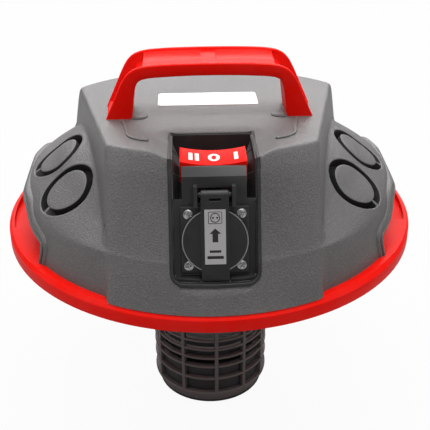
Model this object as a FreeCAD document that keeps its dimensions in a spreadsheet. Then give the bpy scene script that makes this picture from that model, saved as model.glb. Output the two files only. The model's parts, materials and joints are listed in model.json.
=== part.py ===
"""Motor head of a wet and dry vacuum cleaner.

Frame: millimetres, +Z up, front towards -Y. The origin is the centre of the float cage's foot, so the lid
ring's lower edge lies at the height rim_z. The motor shaft, the lid and the cage share the Z axis.
Heights named *_rise are counted up from rim_z, and heights named *_drop are counted down from it.
"""

import FreeCAD, Part
import math
import os
import re

import Sketcher

SIZES = {
    # lid ring, deck and motor bowl
    "rim_z": 170, "rim_r": 172.5, "rim_height": 13, "rim_flat": 9.5, "lid_wall": 3, "deck_rise": 7,
    "gasket_r": 157, "gasket_width": 5, "gasket_drop": 4, "bowl_r": 80, "bowl_drop": 48, "inlet_r": 34,
    # latch bays at the two sides
    "bay_x": 136, "bay_half": 92, "recess_in": 150, "recess_half": 35, "recess_lip": 4.5, "recess_sink": 5,
    # cover
    "cover_wall": 2.8, "crease_rise": 47.5, "crease_r": 157, "front_rise": 121, "front_r": 128.3,
    "tower_half": 77.5, "tower_flare": 0.193, "tower_draft": 0.1, "top_slope": 7.1, "top_edge_y": 127,
    "arch_rise": 44, "side_flat_x": 152.5, "boss_r": 4.5, "boss_axis_r": 147, "gland_rise": 24, "gland_r": 7,
    # vents
    "vent_r": 25, "vent_cap_r": 19, "vent_cap_wall": 2.5, "vent_tilt": 56,
    "low_vent_angle": 30.3, "low_vent_axis": 131.5, "low_vent_rise": 63.8,
    "high_vent_angle": 4.3, "high_vent_axis": 126.6, "high_vent_rise": 67.4,
    # handle
    "handle_front": 36, "handle_back": 7, "handle_rise": 155, "foot_out": 82, "foot_in": 61,
    "shoulder": 61, "band": 10.4, "handle_wall": 3.5, "grip_half": 46, "grip_sink": 2.5,
    # pocket, housing, plate and socket
    "pocket_half": 31.5, "pocket_foot": 33.5, "pocket_back": 70, "housing_wall": 2, "slab": 4,
    "socket_y": 146, "socket_rise": 62, "socket_lean": 15, "plate_edge": 5.3, "plate_wall": 2.4,
    "screw_clear": 2.97, "head_r": 3.4, "shank_r": 1.6, "well_r": 20.5, "well_wall": 1.8, "well_sink": 17.5,
    "well_floor": 6.5, "pin_pitch": 19, "sleeve_r": 2.6, "notch_half": 12.2, "notch_top": 37.5,
    # socket lid
    "disc_r": 23.7, "disc_wall": 3, "disc_gap": 0.5, "arm_width": 20, "arm_wall": 5, "arm_foot": 29,
    "hinge_up": 33.5, "hinge_out": 2.6, "barrel_r": 2.9, "lid_pin_r": 1.5, "running_gap": 0.08,
    # switch
    "rocker_half": 24, "rocker_front": 122, "rocker_length": 25, "rocker_rise": 112.5, "rocker_height": 16,
    "rocker_sag": 3, "rocker_wall": 2, "pivot_rise": 90, "pivot_r": 2, "shield_half": 23, "switch_half": 17,
    "shield_fold": 45.5, "shield_top": 52,
    # float cage
    "cage_r": 52.4, "cage_wall": 3, "ring_stand": 3, "foot_draw": 5.4, "ring_pitch": 9.5, "ring_wall": 3.4,
    "ring_first": 42.9, "low_ring": 29.3, "band_height": 14, "rib_half": 2.6, "cage_screw_edge": 4,
    "flange_r": 60, "flange_wall": 3, "seal_wall": 3, "float_gap": 5.4, "float_height": 60, "float_wall": 1.8,
    # motor
    "mat_wall": 4, "pan_r": 70, "pan_wall": 1.4, "pan_height": 45, "eye_r": 24, "wheel_r": 62,
    "wheel_height": 14, "sheet_wall": 1.2, "shaft_r": 5, "bracket_wall": 3, "stack": 32, "core_r": 45,
    "bore_r": 27, "air_gap": 0.6, "commutator_r": 12, "bearing_r": 11, "bearing_height": 7, "fan_r": 36,
    "hood_wall": 2, "hood_foot_r": 96, "hood_top_r": 53, "bracket_screw_x": 52.5,
    "coil_in": 20.3, "coil_out": 26.7, "coil_half": 32.7, "coil_bore": 25.3, "coil_head": 8, "yoke_half": 38,
    # electrics
    "board_half": 32, "board_y": 122, "board_depth": 24, "board_rise": 24.5, "board_wall": 1.6,
    "label_length": 84, "label_depth": 41, "label_y": 1.5,
}

doc = FreeCAD.newDocument("MotorHead")
sheet = doc.addObject("Spreadsheet::Sheet", "Sizes")
for row, (alias, number) in enumerate(SIZES.items(), start=1):
    sheet.set(f"A{row}", alias)
    sheet.set(f"B{row}", str(number))
    sheet.setAlias(f"B{row}", alias)
doc.recompute()

S = {alias: float(sheet.get(alias)) for alias in SIZES}
V = FreeCAD.Vector
X, Y, Z = V(1, 0, 0), V(0, 1, 0), V(0, 0, 1)
ORIGIN = V(0, 0, 0)
nodes = {}


# ---------------------------------------------------------------- helpers: objects bound to the sheet

def bound(text):
    """Return an expression in which each size's name points at its cell of the sheet."""
    return re.sub(r"[a-z][a-z0-9_]*", lambda m: "Sizes." + m.group() if m.group() in SIZES else m.group(), text)


def tie(item, **fields):
    """Bind properties, written with __ for a dot, to expressions of the sheet's sizes."""
    for field, text in fields.items():
        item.setExpression(field.replace("__", "."), bound(str(text)))


def keep(name, item):
    """Label a finished sub-part with the name of its node."""
    item.Label = name
    nodes[name] = item
    return item


def polygon_sketch(body, name, points, plane):
    """Closed polygon on one of the body's own planes, with two bound distances for each corner."""
    sketch = body.newObject("Sketcher::SketchObject", name)
    base = next(f for f in body.Origin.OriginFeatures if f.Role == plane)
    sketch.AttachmentSupport = [(base, "")]
    sketch.MapMode = "FlatFace"
    count = len(points)
    corners = [V(50 * math.cos(math.tau * i / count), 50 * math.sin(math.tau * i / count), 0) for i in range(count)]
    for i in range(count):
        sketch.addGeometry(Part.LineSegment(corners[i], corners[(i + 1) % count]), False)
    for i in range(count):
        sketch.addConstraint(Sketcher.Constraint("Coincident", i, 2, (i + 1) % count, 1))
    for i, corner in enumerate(points):
        for kind, text, axis in (("DistanceX", corner[0], -2), ("DistanceY", corner[1], -1)):
            if text == "0":
                sketch.addConstraint(Sketcher.Constraint("PointOnObject", i, 1, axis))
                continue
            index = sketch.addConstraint(Sketcher.Constraint(kind, -1, 1, i, 1, 1.0))
            sketch.setExpression(f"Constraints[{index}]", bound(text))
    return sketch


def revolved(name, points):
    """Body turned about Z from a polygon of (radius, height) expressions."""
    body = doc.addObject("PartDesign::Body", name)
    turn = body.newObject("PartDesign::Revolution", name + "_turn")
    turn.Profile = polygon_sketch(body, name + "_profile", points, "XZ_Plane")
    turn.ReferenceAxis = (turn.Profile[0], ["V_Axis"])
    turn.Angle = 360
    body.Tip = turn
    return body


def padded(name, points, length, shift="0"):
    """Body pushed along Y from a polygon of (x, z) expressions, half to each side of y = shift."""
    body = doc.addObject("PartDesign::Body", name)
    pad = body.newObject("PartDesign::Pad", name + "_pad")
    pad.Profile = polygon_sketch(body, name + "_outline", points, "XZ_Plane")
    pad.Midplane = True
    tie(pad, Length=length)
    tie(body, Placement__Base__y=shift)
    body.Tip = pad
    return body


def cylinder(name, radius, height, x="0", y="0", z="0", axis=Z):
    """Cylinder that starts at a point and runs along an axis of the frame."""
    item = doc.addObject("Part::Cylinder", name)
    item.Placement.Rotation = FreeCAD.Rotation(Z, axis)
    tie(item, Radius=radius, Height=height, Placement__Base__x=x, Placement__Base__y=y, Placement__Base__z=z)
    return item


def block(name, length, width, height, x, y, z):
    """Box whose lowest corner is at a point."""
    item = doc.addObject("Part::Box", name)
    tie(item, Length=length, Width=width, Height=height,
        Placement__Base__x=x, Placement__Base__y=y, Placement__Base__z=z)
    return item


def fused(name, *items):
    """Union of several objects."""
    item = doc.addObject("Part::MultiFuse", name)
    item.Shapes = list(items)
    return item


def cut(name, base, *tools):
    """Base without the tools."""
    item = doc.addObject("Part::Cut", name)
    item.Base = base
    item.Tool = tools[0] if len(tools) == 1 else fused(name + "_tools", *tools)
    return item


def common(name, first, second):
    """What two objects share."""
    item = doc.addObject("Part::Common", name)
    item.Base = first
    item.Tool = second
    return item


def shaped(name, shape):
    """Object whose shape is made with Part's own functions."""
    item = doc.addObject("Part::Feature", name)
    item.Shape = shape
    return item


def leaned(shape):
    """Carry an object from the socket's own frame (front -Y, up +Z, centre of the plate) to its place."""
    item = doc.addObject("Part::Compound", shape.Name + "_leaned")
    item.Links = [shape]
    item.Placement.Rotation = FreeCAD.Rotation(X, -S["socket_lean"])
    tie(item, Placement__Base__y="-socket_y", Placement__Base__z="rim_z + socket_rise")
    return item


# ---------------------------------------------------------------- helpers: shapes

def turned(points):
    """Solid of revolution about Z from (radius, height) numbers."""
    corners = [V(r, 0, z) for r, z in points]
    return Part.Face(Part.makePolygon(corners + corners[:1])).revolve(ORIGIN, Z, 360)


def prism(corners, along):
    """Solid pushed from a closed polygon of points along a vector."""
    return Part.Face(Part.makePolygon(corners + corners[:1])).extrude(along)


def slab_box(x0, x1, y0, y1, z0, z1):
    """Box between two corners."""
    return Part.makeBox(x1 - x0, y1 - y0, z1 - z0, V(x0, y0, z0))


def tube(outer, inner, z0, z1):
    """Round tube about Z between two heights."""
    return Part.makeCylinder(outer, z1 - z0, V(0, 0, z0)).cut(Part.makeCylinder(inner, z1 - z0, V(0, 0, z0)))


def ring_of(shape, count, first=0.0):
    """Copies of a shape spread evenly about Z."""
    copies = [shape.copy() for _ in range(count)]
    for i, copy in enumerate(copies):
        copy.rotate(ORIGIN, Z, first + i * 360 / count)
    return copies


def pair(shape):
    """The shape and its mirror image on the other side of the YZ plane."""
    return [shape, shape.mirror(ORIGIN, X)]


def union(shapes):
    """One solid of several shapes."""
    return shapes[0].multiFuse(shapes[1:])


def screw(head_r, head_wall, shank_r, length):
    """Pan head screw that points down, with its head standing on z = 0."""
    return Part.makeCylinder(head_r, head_wall).fuse(Part.makeCylinder(shank_r, length, ORIGIN, V(0, 0, -1)))


# ---------------------------------------------------------------- shared heights and the cover's outer form

RIM = S["rim_z"]
DECK = RIM + S["deck_rise"]
LEDGE = RIM + S["rim_height"]
SKIRT_R = S["rim_r"] - S["rim_flat"]
FLOOR = RIM - S["bowl_drop"] + S["lid_wall"]
PAN_FOOT = FLOOR + S["mat_wall"]
PAN_TOP = PAN_FOOT + S["pan_height"]
STACK_FOOT = PAN_TOP + S["bracket_wall"] + 13
STACK_TOP = STACK_FOOT + S["stack"]
TOP_PLATE_SLOPE = math.tan(math.radians(S["top_slope"]))
PITCH = "(1.41421356 * (well_r + head_r + screw_clear))"
PLATE_SIDE = "(" + PITCH + " + 2 * plate_edge)"
PITCH_MM = 2 ** 0.5 * (S["well_r"] + S["head_r"] + S["screw_clear"])
DOME = [(6, 4), (14, 9), (21.5, 13.7), (27.5, 17.8), (34.5, 23.3), (43.5, 29.3), (53.5, 34.5), (67, 39.5), (90, 45)]


def top_height(y):
    """Height of the tower's sloping top face at a place y."""
    return RIM + S["front_rise"] - TOP_PLATE_SLOPE * (y + S["top_edge_y"])


def cover_form(inset):
    """Solid inside the cover's outer face, moved inwards by the inset: skirt, side lobes and tower."""
    foot = LEDGE - (30 if inset else 0)
    crease_z = RIM + S["crease_rise"]
    skirt = [(0, foot), (SKIRT_R - inset, foot), (SKIRT_R - inset, LEDGE), (S["crease_r"] - inset, crease_z)]
    dome = [(S["crease_r"] - dr - 0.62 * inset, crease_z + dz - 0.8 * inset) for dr, dz in DOME]
    lobes = turned(skirt + dome + [(0, dome[-1][1])])
    lean = (S["crease_r"] - S["front_r"]) / (S["front_rise"] - S["crease_rise"])
    head = RIM + S["front_rise"] + 20
    cone = turned(skirt + [(S["crease_r"] - lean * (head - crease_z) - inset, head), (0, head)])
    wedge = []
    for z in (foot, head):
        corners = []
        for side, y in ((-1, -200), (1, -200), (1, 200), (-1, 200)):
            half = S["tower_half"] + S["tower_flare"] * (y + 105) - S["tower_draft"] * (z - RIM - 120) - inset
            corners.append(V(side * half, y, z))
        wedge.append(Part.makePolygon(corners + corners[:1]))
    tower = cone.common(Part.makeLoft(wedge, True, True))
    lid = [V(-250, y, top_height(y) - inset) for y in (-250, 250)] + [V(-250, y, head + 50) for y in (250, -250)]
    return lobes.fuse(tower.cut(prism(lid, 500 * X)))


def arch_prism(inset):
    """Latch bay at the +X side: what the wheel arch leaves out of the cover, grown by the inset."""
    rise, half = S["arch_rise"] + inset, S["bay_half"] + inset
    side = [(-half, -40), (-half, 30 + inset), (-75 - inset, 33 + inset), (-62 - inset, rise - 3), (-52, rise)]
    outline = side + [(-y, z) for y, z in reversed(side)]
    return prism([V(S["bay_x"] - inset, y, RIM + z) for y, z in outline], 2 * S["rim_r"] * X)


# ---------------------------------------------------------------- lid base with its seals

def make_lid():
    """Lid ring, deck and motor bowl in one moulding, with the latch bays, and the two seals."""
    foot = "rim_z - bowl_drop"
    deck = "rim_z + deck_rise"
    inner = "rim_r - rim_flat - 4"
    moulding = revolved("lid_moulding", [
        ("rim_r", "rim_z"), ("rim_r", "rim_z + rim_height - 3"), ("rim_r - 3", "rim_z + rim_height"),
        (inner, "rim_z + rim_height"), (inner, deck), ("bowl_r", deck), ("bowl_r", foot + " + lid_wall"),
        ("inlet_r", foot + " + lid_wall"), ("inlet_r", foot), ("bowl_r + lid_wall", foot),
        ("bowl_r + lid_wall", deck + " - lid_wall"), ("gasket_r - lid_wall", deck + " - lid_wall"),
        ("gasket_r - lid_wall", "rim_z - gasket_drop"), ("gasket_r", "rim_z - gasket_drop"),
        ("gasket_r", deck + " - lid_wall"), ("gasket_r + gasket_width", deck + " - lid_wall"),
        ("gasket_r + gasket_width", "rim_z + rim_height - lid_wall"),
        ("rim_r - lid_wall", "rim_z + rim_height - lid_wall"), ("rim_r - lid_wall", "rim_z")])
    bay_disc = cylinder("bay_disc", "rim_r - 2", "rim_height - 5", z="rim_z + 5")
    bay_core = block("bay_core", "2 * bay_x - 7", "4 * bay_half", "rim_height", "3.5 - bay_x", "-2 * bay_half", "rim_z")
    bay_span = block("bay_span", "3 * rim_r", "2 * bay_half - 1", "rim_height", "-1.5 * rim_r", "0.5 - bay_half", "rim_z")
    bays = common("bays", cut("bay_disc_sides", bay_disc, bay_core), bay_span)
    recess_disc = cylinder("recess_disc", "rim_r - recess_lip", "20", z="rim_z + rim_height - recess_sink")
    recess_core = cylinder("recess_core", "recess_in", "20", z="rim_z + rim_height - recess_sink")
    recess_span = block("recess_span", "3 * rim_r", "2 * recess_half", "60", "-1.5 * rim_r", "-recess_half", "rim_z")
    recesses = common("recesses", cut("recess_ring", recess_disc, recess_core), recess_span)
    screw_hole = Part.makeCylinder(S["shank_r"] + 0.4, 20, V(S["boss_axis_r"], 0, DECK - 15))
    hood_hole = Part.makeCylinder(S["shank_r"], 20, V(S["hood_foot_r"] - 5, 0, DECK - 15))
    cage_hole = Part.makeCylinder(S["shank_r"], 20, V(S["flange_r"] - S["cage_screw_edge"], 0, FLOOR - 15))
    holes = ring_of(screw_hole, 4, 45) + ring_of(hood_hole, 4, 45) + ring_of(cage_hole, 4, 45)
    post = Part.makeCylinder(4, 25, V(25, 134, DECK - 0.5))
    posts = shaped("board_posts", Part.makeCompound(pair(post)))
    keep("lid_base", cut("lid_finished", fused("lid_with_bays", moulding, bays, posts), recesses,
                         shaped("lid_holes", Part.makeCompound(holes))))
    keep("tank_gasket", revolved("tank_gasket_ring", [
        ("gasket_r + 0.3", "rim_z - 1"), ("gasket_r + gasket_width - 0.3", "rim_z - 1"),
        ("gasket_r + gasket_width - 0.3", deck + " - lid_wall"), ("gasket_r + 0.3", deck + " - lid_wall")]))
    keep("inlet_seal", revolved("inlet_seal_ring", [
        ("inlet_r", foot + " - seal_wall"), ("cage_r - 2 * cage_wall - 0.4", foot + " - seal_wall"),
        ("cage_r - 2 * cage_wall - 0.4", foot), ("inlet_r", foot)]))


# ---------------------------------------------------------------- cover with vents and label

def vent_places():
    """Centre and outward direction of each vent, by name."""
    tilt = math.radians(S["vent_tilt"])
    places = {}
    for level in ("low", "high"):
        turn = math.radians(-S[level + "_vent_angle"])
        radius = S[level + "_vent_axis"]
        centre = V(radius * math.cos(turn), radius * math.sin(turn), RIM + S[level + "_vent_rise"])
        out = V(math.cos(turn) * math.cos(tilt), math.sin(turn) * math.cos(tilt), math.sin(tilt))
        places[level + "_right"] = (centre, out)
        places[level + "_left"] = (V(-centre.x, centre.y, centre.z), V(-out.x, out.y, out.z))
    return places


def drilled(centre, out, radius):
    """Cylinder through the cover's wall at a vent."""
    return Part.makeCylinder(radius, 40, centre - 20 * out, out)


def make_cover():
    """Cover shell with its pocket, latch bays, vents and screw bosses, and the four vent caps."""
    outer = cover_form(0)
    inner = cover_form(S["cover_wall"])
    far = slab_box(S["side_flat_x"], 2 * S["rim_r"], -200, 200, RIM, RIM + 80)
    near = slab_box(S["side_flat_x"] - S["cover_wall"], 2 * S["rim_r"], -200, 200, RIM - 40, RIM + 80)
    for side in pair(arch_prism(0)) + pair(far):
        outer = outer.cut(side)
    for side in pair(arch_prism(S["cover_wall"])) + pair(near):
        inner = inner.cut(side)
    shell = outer.cut(inner)
    pocket = slab_box(-S["pocket_half"], S["pocket_half"], -200, -S["pocket_back"], RIM + S["pocket_foot"], RIM + 200)
    shell = shell.cut(pocket)
    for centre, out in vent_places().values():
        shell = shell.cut(drilled(centre, out, S["vent_r"]))
    boss = Part.makeCylinder(S["boss_r"], 22, V(S["boss_axis_r"], 0, DECK))
    rib = slab_box(S["boss_axis_r"], SKIRT_R - 4, -1.2, 1.2, LEDGE, DECK + 22)
    pilot = Part.makeCylinder(S["shank_r"], 18, V(S["boss_axis_r"], 0, DECK))
    shell = shell.multiFuse(ring_of(boss.fuse(rib).cut(pilot), 4, 45))
    shell = shell.cut(Part.makeCylinder(S["gland_r"], 40, V(0, 140, RIM + S["gland_rise"]), Y))
    for x, y in handle_screw_places():
        shell = shell.cut(Part.makeCylinder(S["shank_r"] + 0.3, 40, V(x, y, top_height(y) - 20)))
    keep("cover", shaped("cover_shell", shell))

    skin = cover_form(0).cut(cover_form(S["vent_cap_wall"]))
    stem = cover_form(S["vent_cap_wall"]).cut(cover_form(S["cover_wall"] + 2))
    backing = cover_form(S["cover_wall"]).cut(cover_form(S["cover_wall"] + 2))
    for name, (centre, out) in vent_places().items():
        cap = skin.common(drilled(centre, out, S["vent_cap_r"]))
        neck = stem.common(drilled(centre, out, S["vent_cap_r"] - 4))
        bars = []
        for turn in (0, 60, 120):
            bar = slab_box(-S["vent_r"] - 3, S["vent_r"] + 3, -2, 2, -20, 20)
            bar.Placement = FreeCAD.Placement(centre, FreeCAD.Rotation(Z, out) * FreeCAD.Rotation(Z, turn))
            bars.append(backing.common(bar))
        keep("vent_cap_" + name, shaped("vent_cap_" + name + "_solid", union([cap, neck] + bars)))

    label = doc.addObject("Part::Box", "info_label_plate")
    label.Placement = FreeCAD.Placement(V(-S["label_length"] / 2, S["label_y"], top_height(S["label_y"])),
                                        FreeCAD.Rotation(X, -S["top_slope"]))
    label.Length, label.Width, label.Height = S["label_length"], S["label_depth"], 0.4
    keep("info_label", label)


# ---------------------------------------------------------------- handle

def handle_screw_places():
    """The four screws that hold the handle's feet from inside the cover."""
    mid = 0.5 * (S["foot_out"] + S["foot_in"])
    return [(side * mid, y) for side in (-1, 1) for y in (-S["handle_front"] + 10, S["handle_back"] - 10)]


def make_handle():
    """Channel handle: an arched band whose outer side is hollowed between two flanges."""
    half = [("foot_out", "rim_z + 90"), ("shoulder", "rim_z + handle_rise - 6"),
            ("shoulder - 6", "rim_z + handle_rise - 2.5"), ("30", "rim_z + handle_rise - 0.6")]
    under = [("30", "rim_z + handle_rise - band - 0.4"), ("shoulder - 12", "rim_z + handle_rise - band - 1.6"),
             ("shoulder - 5", "rim_z + handle_rise - band - 4"), ("foot_in", "rim_z + 90")]
    outline = half + [("-(" + x + ")", z) for x, z in reversed(half)]
    outline += [("-(" + x + ")", z) for x, z in reversed(under)] + under
    shift = "(handle_back - handle_front) / 2"
    band = padded("handle_band", outline, "handle_back + handle_front", shift)
    inside = "handle_back + handle_front - 2 * handle_wall"
    foot = "rim_z + front_rise - 3"
    hollows = []
    for name, sign in (("right", ""), ("left", "-")):
        leg = [("foot_out + 20", foot), ("foot_in + 2", foot), ("shoulder - 1.5", "rim_z + handle_rise - band - 2"),
               ("shoulder - 7.5", "rim_z + handle_rise - band + 2.5"), ("grip_half", "rim_z + handle_rise - band + 4"),
               ("grip_half", "rim_z + handle_rise + 9"), ("foot_out + 20", "rim_z + handle_rise + 9")]
        hollows.append(padded("leg_hollow_" + name, [(sign + "(" + x + ")", z) for x, z in leg], inside, shift))
    top = "rim_z + handle_rise"
    hollows.append(padded("grip_hollow", [
        ("grip_half", top + " - grip_sink - 1.4"), ("0", top + " - grip_sink"),
        ("-grip_half", top + " - grip_sink - 1.4"), ("-grip_half", top + " + 9"), ("grip_half", top + " + 9")],
        inside, shift))
    below = prism([V(-250, -250, RIM), V(-250, 250, RIM), V(-250, 250, top_height(250)),
                   V(-250, -250, top_height(-250))], 500 * X)
    pilots = [Part.makeCylinder(S["shank_r"], 10, V(x, y, top_height(y) - 2)) for x, y in handle_screw_places()]
    keep("handle", cut("handle_finished", band, *hollows, shaped("handle_seat", below),
                       shaped("handle_pilots", Part.makeCompound(pilots))))
    screws = []
    for x, y in handle_screw_places():
        one = screw(S["head_r"], 2, S["shank_r"], S["cover_wall"] + 7)
        one.rotate(ORIGIN, X, 180)
        one.translate(V(x, y, top_height(y) - S["cover_wall"] - 0.6))
        screws.append(one)
    keep("handle_screws", shaped("handle_screw_set", Part.makeCompound(screws)))


# ---------------------------------------------------------------- switch and socket

def make_housing():
    """Tub that lines the pocket, with the leaning front slab, its shield in front of the rocker and hinge ears."""
    half, wall = S["pocket_half"] - 0.2, S["housing_wall"]
    foot, back = RIM + S["pocket_foot"] + 0.2, -S["pocket_back"] - 0.2
    tub = slab_box(-half, half, -200, back, foot, RIM + 140)
    tub = tub.cut(slab_box(wall - half, half - wall, -201, back - wall, foot + wall, RIM + 141))
    tub = tub.common(cover_form(1.5))
    tub = tub.cut(slab_box(-S["arm_width"] / 2 - 1, S["arm_width"] / 2 + 1, -200, -S["socket_y"] - 5.5, foot - 1, foot + 12))
    n0 = S["plate_wall"]
    low = slab_box(wall - half - 0.5, half - wall + 0.5, n0, n0 + S["slab"], -S["arm_foot"] + 0.8, 29)
    high = [V(0, n0, 0), V(0, n0, S["shield_fold"]), V(0, n0 + 4.2, S["shield_top"]),
            V(0, n0 + S["slab"] + 2.6, S["shield_top"]), V(0, n0 + S["slab"], S["shield_fold"] - 2),
            V(0, n0 + S["slab"], 0)]
    shield = prism([corner - S["shield_half"] * X for corner in high], 2 * S["shield_half"] * X)
    slab = low.fuse(shield)
    notch = slab_box(-S["notch_half"], S["notch_half"], n0 - 1, n0 + S["slab"] + 1, 26, S["notch_top"])
    slab = slab.cut(notch).cut(Part.makeCylinder(S["well_r"] + 0.1, 30, V(0, -5, 0), Y))
    ear = slab_box(S["notch_half"], S["notch_half"] + 2.6, -S["hinge_out"] - 3, n0 + 0.5,
                   PITCH_MM / 2 + S["plate_edge"] + 0.5, S["notch_top"] + 2.5)
    slab = slab.multiFuse(pair(ear))
    reach = S["notch_half"] + 2
    slab = slab.cut(Part.makeCylinder(S["lid_pin_r"], 2 * reach, V(-reach, -S["hinge_out"], S["hinge_up"]), X))
    for x, z in plate_screw_places():
        slab = slab.cut(Part.makeCylinder(S["shank_r"], 20, V(x, 0, z), Y))
    slab.Placement = socket_place()
    shell = tub.cut(well_room()).cut(plate_room()).fuse(slab.common(slab_box(-half, half, -200, back, foot, RIM + 200)))
    shelf_y = -S["rocker_front"] + S["rocker_length"] / 2
    shelf = slab_box(-half + 0.5, half - 0.5, shelf_y - 6, back, RIM + S["pivot_rise"] - 31, RIM + S["pivot_rise"] - 28)
    keep("module_housing", shaped("module_housing_shell", shell.fuse(shelf)))


def socket_place():
    """Where the socket's own frame stands: at the plate's middle, leaning back."""
    return FreeCAD.Placement(V(0, -S["socket_y"], RIM + S["socket_rise"]), FreeCAD.Rotation(X, -S["socket_lean"]))


def well_room():
    """Room that the well takes up behind the plate."""
    room = Part.makeCylinder(S["well_r"] + 0.1, S["well_sink"] + S["well_floor"] + 5.1, V(0, -5, 0), Y)
    room.Placement = socket_place()
    return room


def plate_room():
    """Room that the plate takes up in front of its seat."""
    reach = PITCH_MM / 2 + S["plate_edge"] + 0.1
    room = slab_box(-reach, reach, -5, S["plate_wall"], -reach, reach)
    room.Placement = socket_place()
    return room


def plate_screw_places():
    """The four screw places of the socket plate, in the plate's own frame."""
    half = PITCH_MM / 2
    return [(x, z) for x in (-half, half) for z in (-half, half)]


def make_socket():
    """Socket plate, well, contacts, earth clip, and the plate's screws, all leaning with the plate."""
    middle = "-" + PLATE_SIDE + " / 2"
    plate = block("plate_blank", PLATE_SIDE, "plate_wall", PLATE_SIDE, middle, "0", middle)
    bore = cylinder("plate_bore", "well_r + 0.1", "20", y="-10", axis=Y)
    holes = [cylinder(f"plate_hole_{i}", "shank_r + 0.2", "20", f"{sx} * {PITCH} / 2", "-10",
                      f"{sz} * {PITCH} / 2", Y)
             for i, (sx, sz) in enumerate(((-1, -1), (1, -1), (-1, 1), (1, 1)))]
    sinks = [cylinder(f"plate_sink_{i}", "head_r + 0.1", "1.4", f"{sx} * {PITCH} / 2", "0",
                      f"{sz} * {PITCH} / 2", Y)
             for i, (sx, sz) in enumerate(((-1, -1), (1, -1), (-1, 1), (1, 1)))]
    keep("socket_plate", leaned(cut("plate_finished", plate, bore, *holes, *sinks)))

    cup = cylinder("well_blank", "well_r", "well_sink + well_floor", axis=Y)
    hollow = cylinder("well_hollow", "well_r - well_wall", "well_sink", axis=Y)
    pins = [cylinder("well_pin_" + name, "sleeve_r", "60", sign + "pin_pitch / 2", "0", "0", Y)
            for name, sign in (("right", ""), ("left", "-"))]
    keep("socket_well", leaned(cut("well_finished", cup, hollow, *pins)))

    sleeves = []
    for name, sign in (("right", ""), ("left", "-")):
        outside = cylinder("sleeve_" + name, "sleeve_r", "well_floor + 4", sign + "pin_pitch / 2", "well_sink", "0", Y)
        inside = cylinder("sleeve_bore_" + name, "sleeve_r - 0.5", "well_floor + 3", sign + "pin_pitch / 2",
                          "well_sink", "0", Y)
        sleeves.append(cut("contact_" + name, outside, inside))
    keep("socket_contacts", leaned(fused("contact_pair", *sleeves)))

    clips = [block("clip_" + name, "5", "well_sink - 3", "1.2", "-2.5", "3", place)
             for name, place in (("top", "well_r - well_wall - 1.8"), ("foot", "0.6 - well_r + well_wall"))]
    keep("earth_clip", leaned(fused("clip_pair", *clips)))

    screws = []
    for x, z in plate_screw_places():
        one = screw(S["head_r"], 1.4, S["shank_r"], 8)
        one.rotate(ORIGIN, X, 90)
        one.translate(V(x, 1.4, z))
        screws.append(one)
    keep("plate_screws", leaned(shaped("plate_screw_set", Part.makeCompound(screws))))


def make_socket_lid():
    """Round lid with its finger tongue and hinge barrel, its label, pin and torsion spring."""
    disc = cylinder("lid_disc", "disc_r", "disc_wall", y="-disc_gap - disc_wall", axis=Y)
    arm = block("lid_arm", "arm_width", "arm_wall", "arm_foot + hinge_up", "-arm_width / 2", "-disc_gap - arm_wall",
                "-arm_foot")
    barrel = cylinder("lid_barrel", "barrel_r", "arm_width", "-arm_width / 2", "-hinge_out", "hinge_up", X)
    bore = cylinder("lid_bore", "lid_pin_r + running_gap", "2 * arm_width", "-arm_width", "-hinge_out", "hinge_up", X)
    gap = block("spring_gap", "8.4", "30", "30", "-4.2", "-15", "hinge_up - barrel_r - 1")
    keep("socket_lid", leaned(cut("socket_lid_finished", fused("lid_whole", disc, arm, barrel), bore, gap)))
    label = block("lid_label_plate", "15", "0.3", "40", "-7.5", "-disc_gap - arm_wall - 0.3", "-16.5")
    keep("lid_label", leaned(label))
    keep("lid_hinge_pin", leaned(cylinder("lid_pin", "lid_pin_r", "2 * notch_half + 4", "-notch_half - 2",
                                          "-hinge_out", "hinge_up", X)))
    coil = cylinder("spring_outside", "lid_pin_r + 1.1", "7.2", "-3.6", "-hinge_out", "hinge_up", X)
    core = cylinder("spring_inside", "lid_pin_r + 0.2", "8", "-4", "-hinge_out", "hinge_up", X)
    keep("lid_spring", leaned(cut("lid_spring_coil", coil, core)))


def make_switch():
    """Switch body with its two ears, the rocker and the pin that it rocks on."""
    front, length = S["rocker_front"], S["rocker_length"]
    pivot = RIM + S["pivot_rise"]
    y0, y1 = -front, -front + length
    body = slab_box(-S["switch_half"], S["switch_half"], y0 + 8, y1 - 3, pivot - 28, pivot - 6)
    ears = [slab_box(-5, 5, y, y + 3, pivot - 12, pivot + 3.5) for y in (y0 + 5, y1 - 5)]
    bridge = slab_box(-5, 5, y0 + 5, y1 - 2, pivot - 12, pivot - 6)
    hole = Part.makeCylinder(S["pivot_r"], 40, V(0, y0 - 5, pivot), Y)
    keep("switch_body", shaped("switch_body_solid", union([body, bridge] + ears).cut(hole).cut(well_room())))
    keep("rocker_pin", cylinder("rocker_pin_rod", "pivot_r", "rocker_length - 7", "0", "5 - rocker_front",
                                "rim_z + pivot_rise", Y))
    top = RIM + S["rocker_rise"]
    block_top = slab_box(-S["rocker_half"], S["rocker_half"], y0, y1, top - S["rocker_height"], top)
    sag = S["rocker_sag"]
    bend = (S["rocker_half"] ** 2 + sag ** 2) / (2 * sag)
    block_top = block_top.cut(Part.makeCylinder(bend, 60, V(0, y0 - 10, top + bend - sag), Y))
    wall = S["rocker_wall"]
    hollow = slab_box(wall - S["rocker_half"], S["rocker_half"] - wall, y0 + wall, y1 - wall,
                      top - S["rocker_height"] - 1, top - sag - 3)
    lug = slab_box(-4, 4, y0 + 8.6, y1 - 5.6, pivot - 3.6, top - sag - 2)
    rocker = block_top.cut(hollow).fuse(lug)
    rocker = rocker.cut(Part.makeCylinder(S["pivot_r"] + S["running_gap"], 60, V(0, y0 - 10, pivot), Y))
    keep("rocker", shaped("rocker_solid", rocker))


# ---------------------------------------------------------------- float cage

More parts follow.
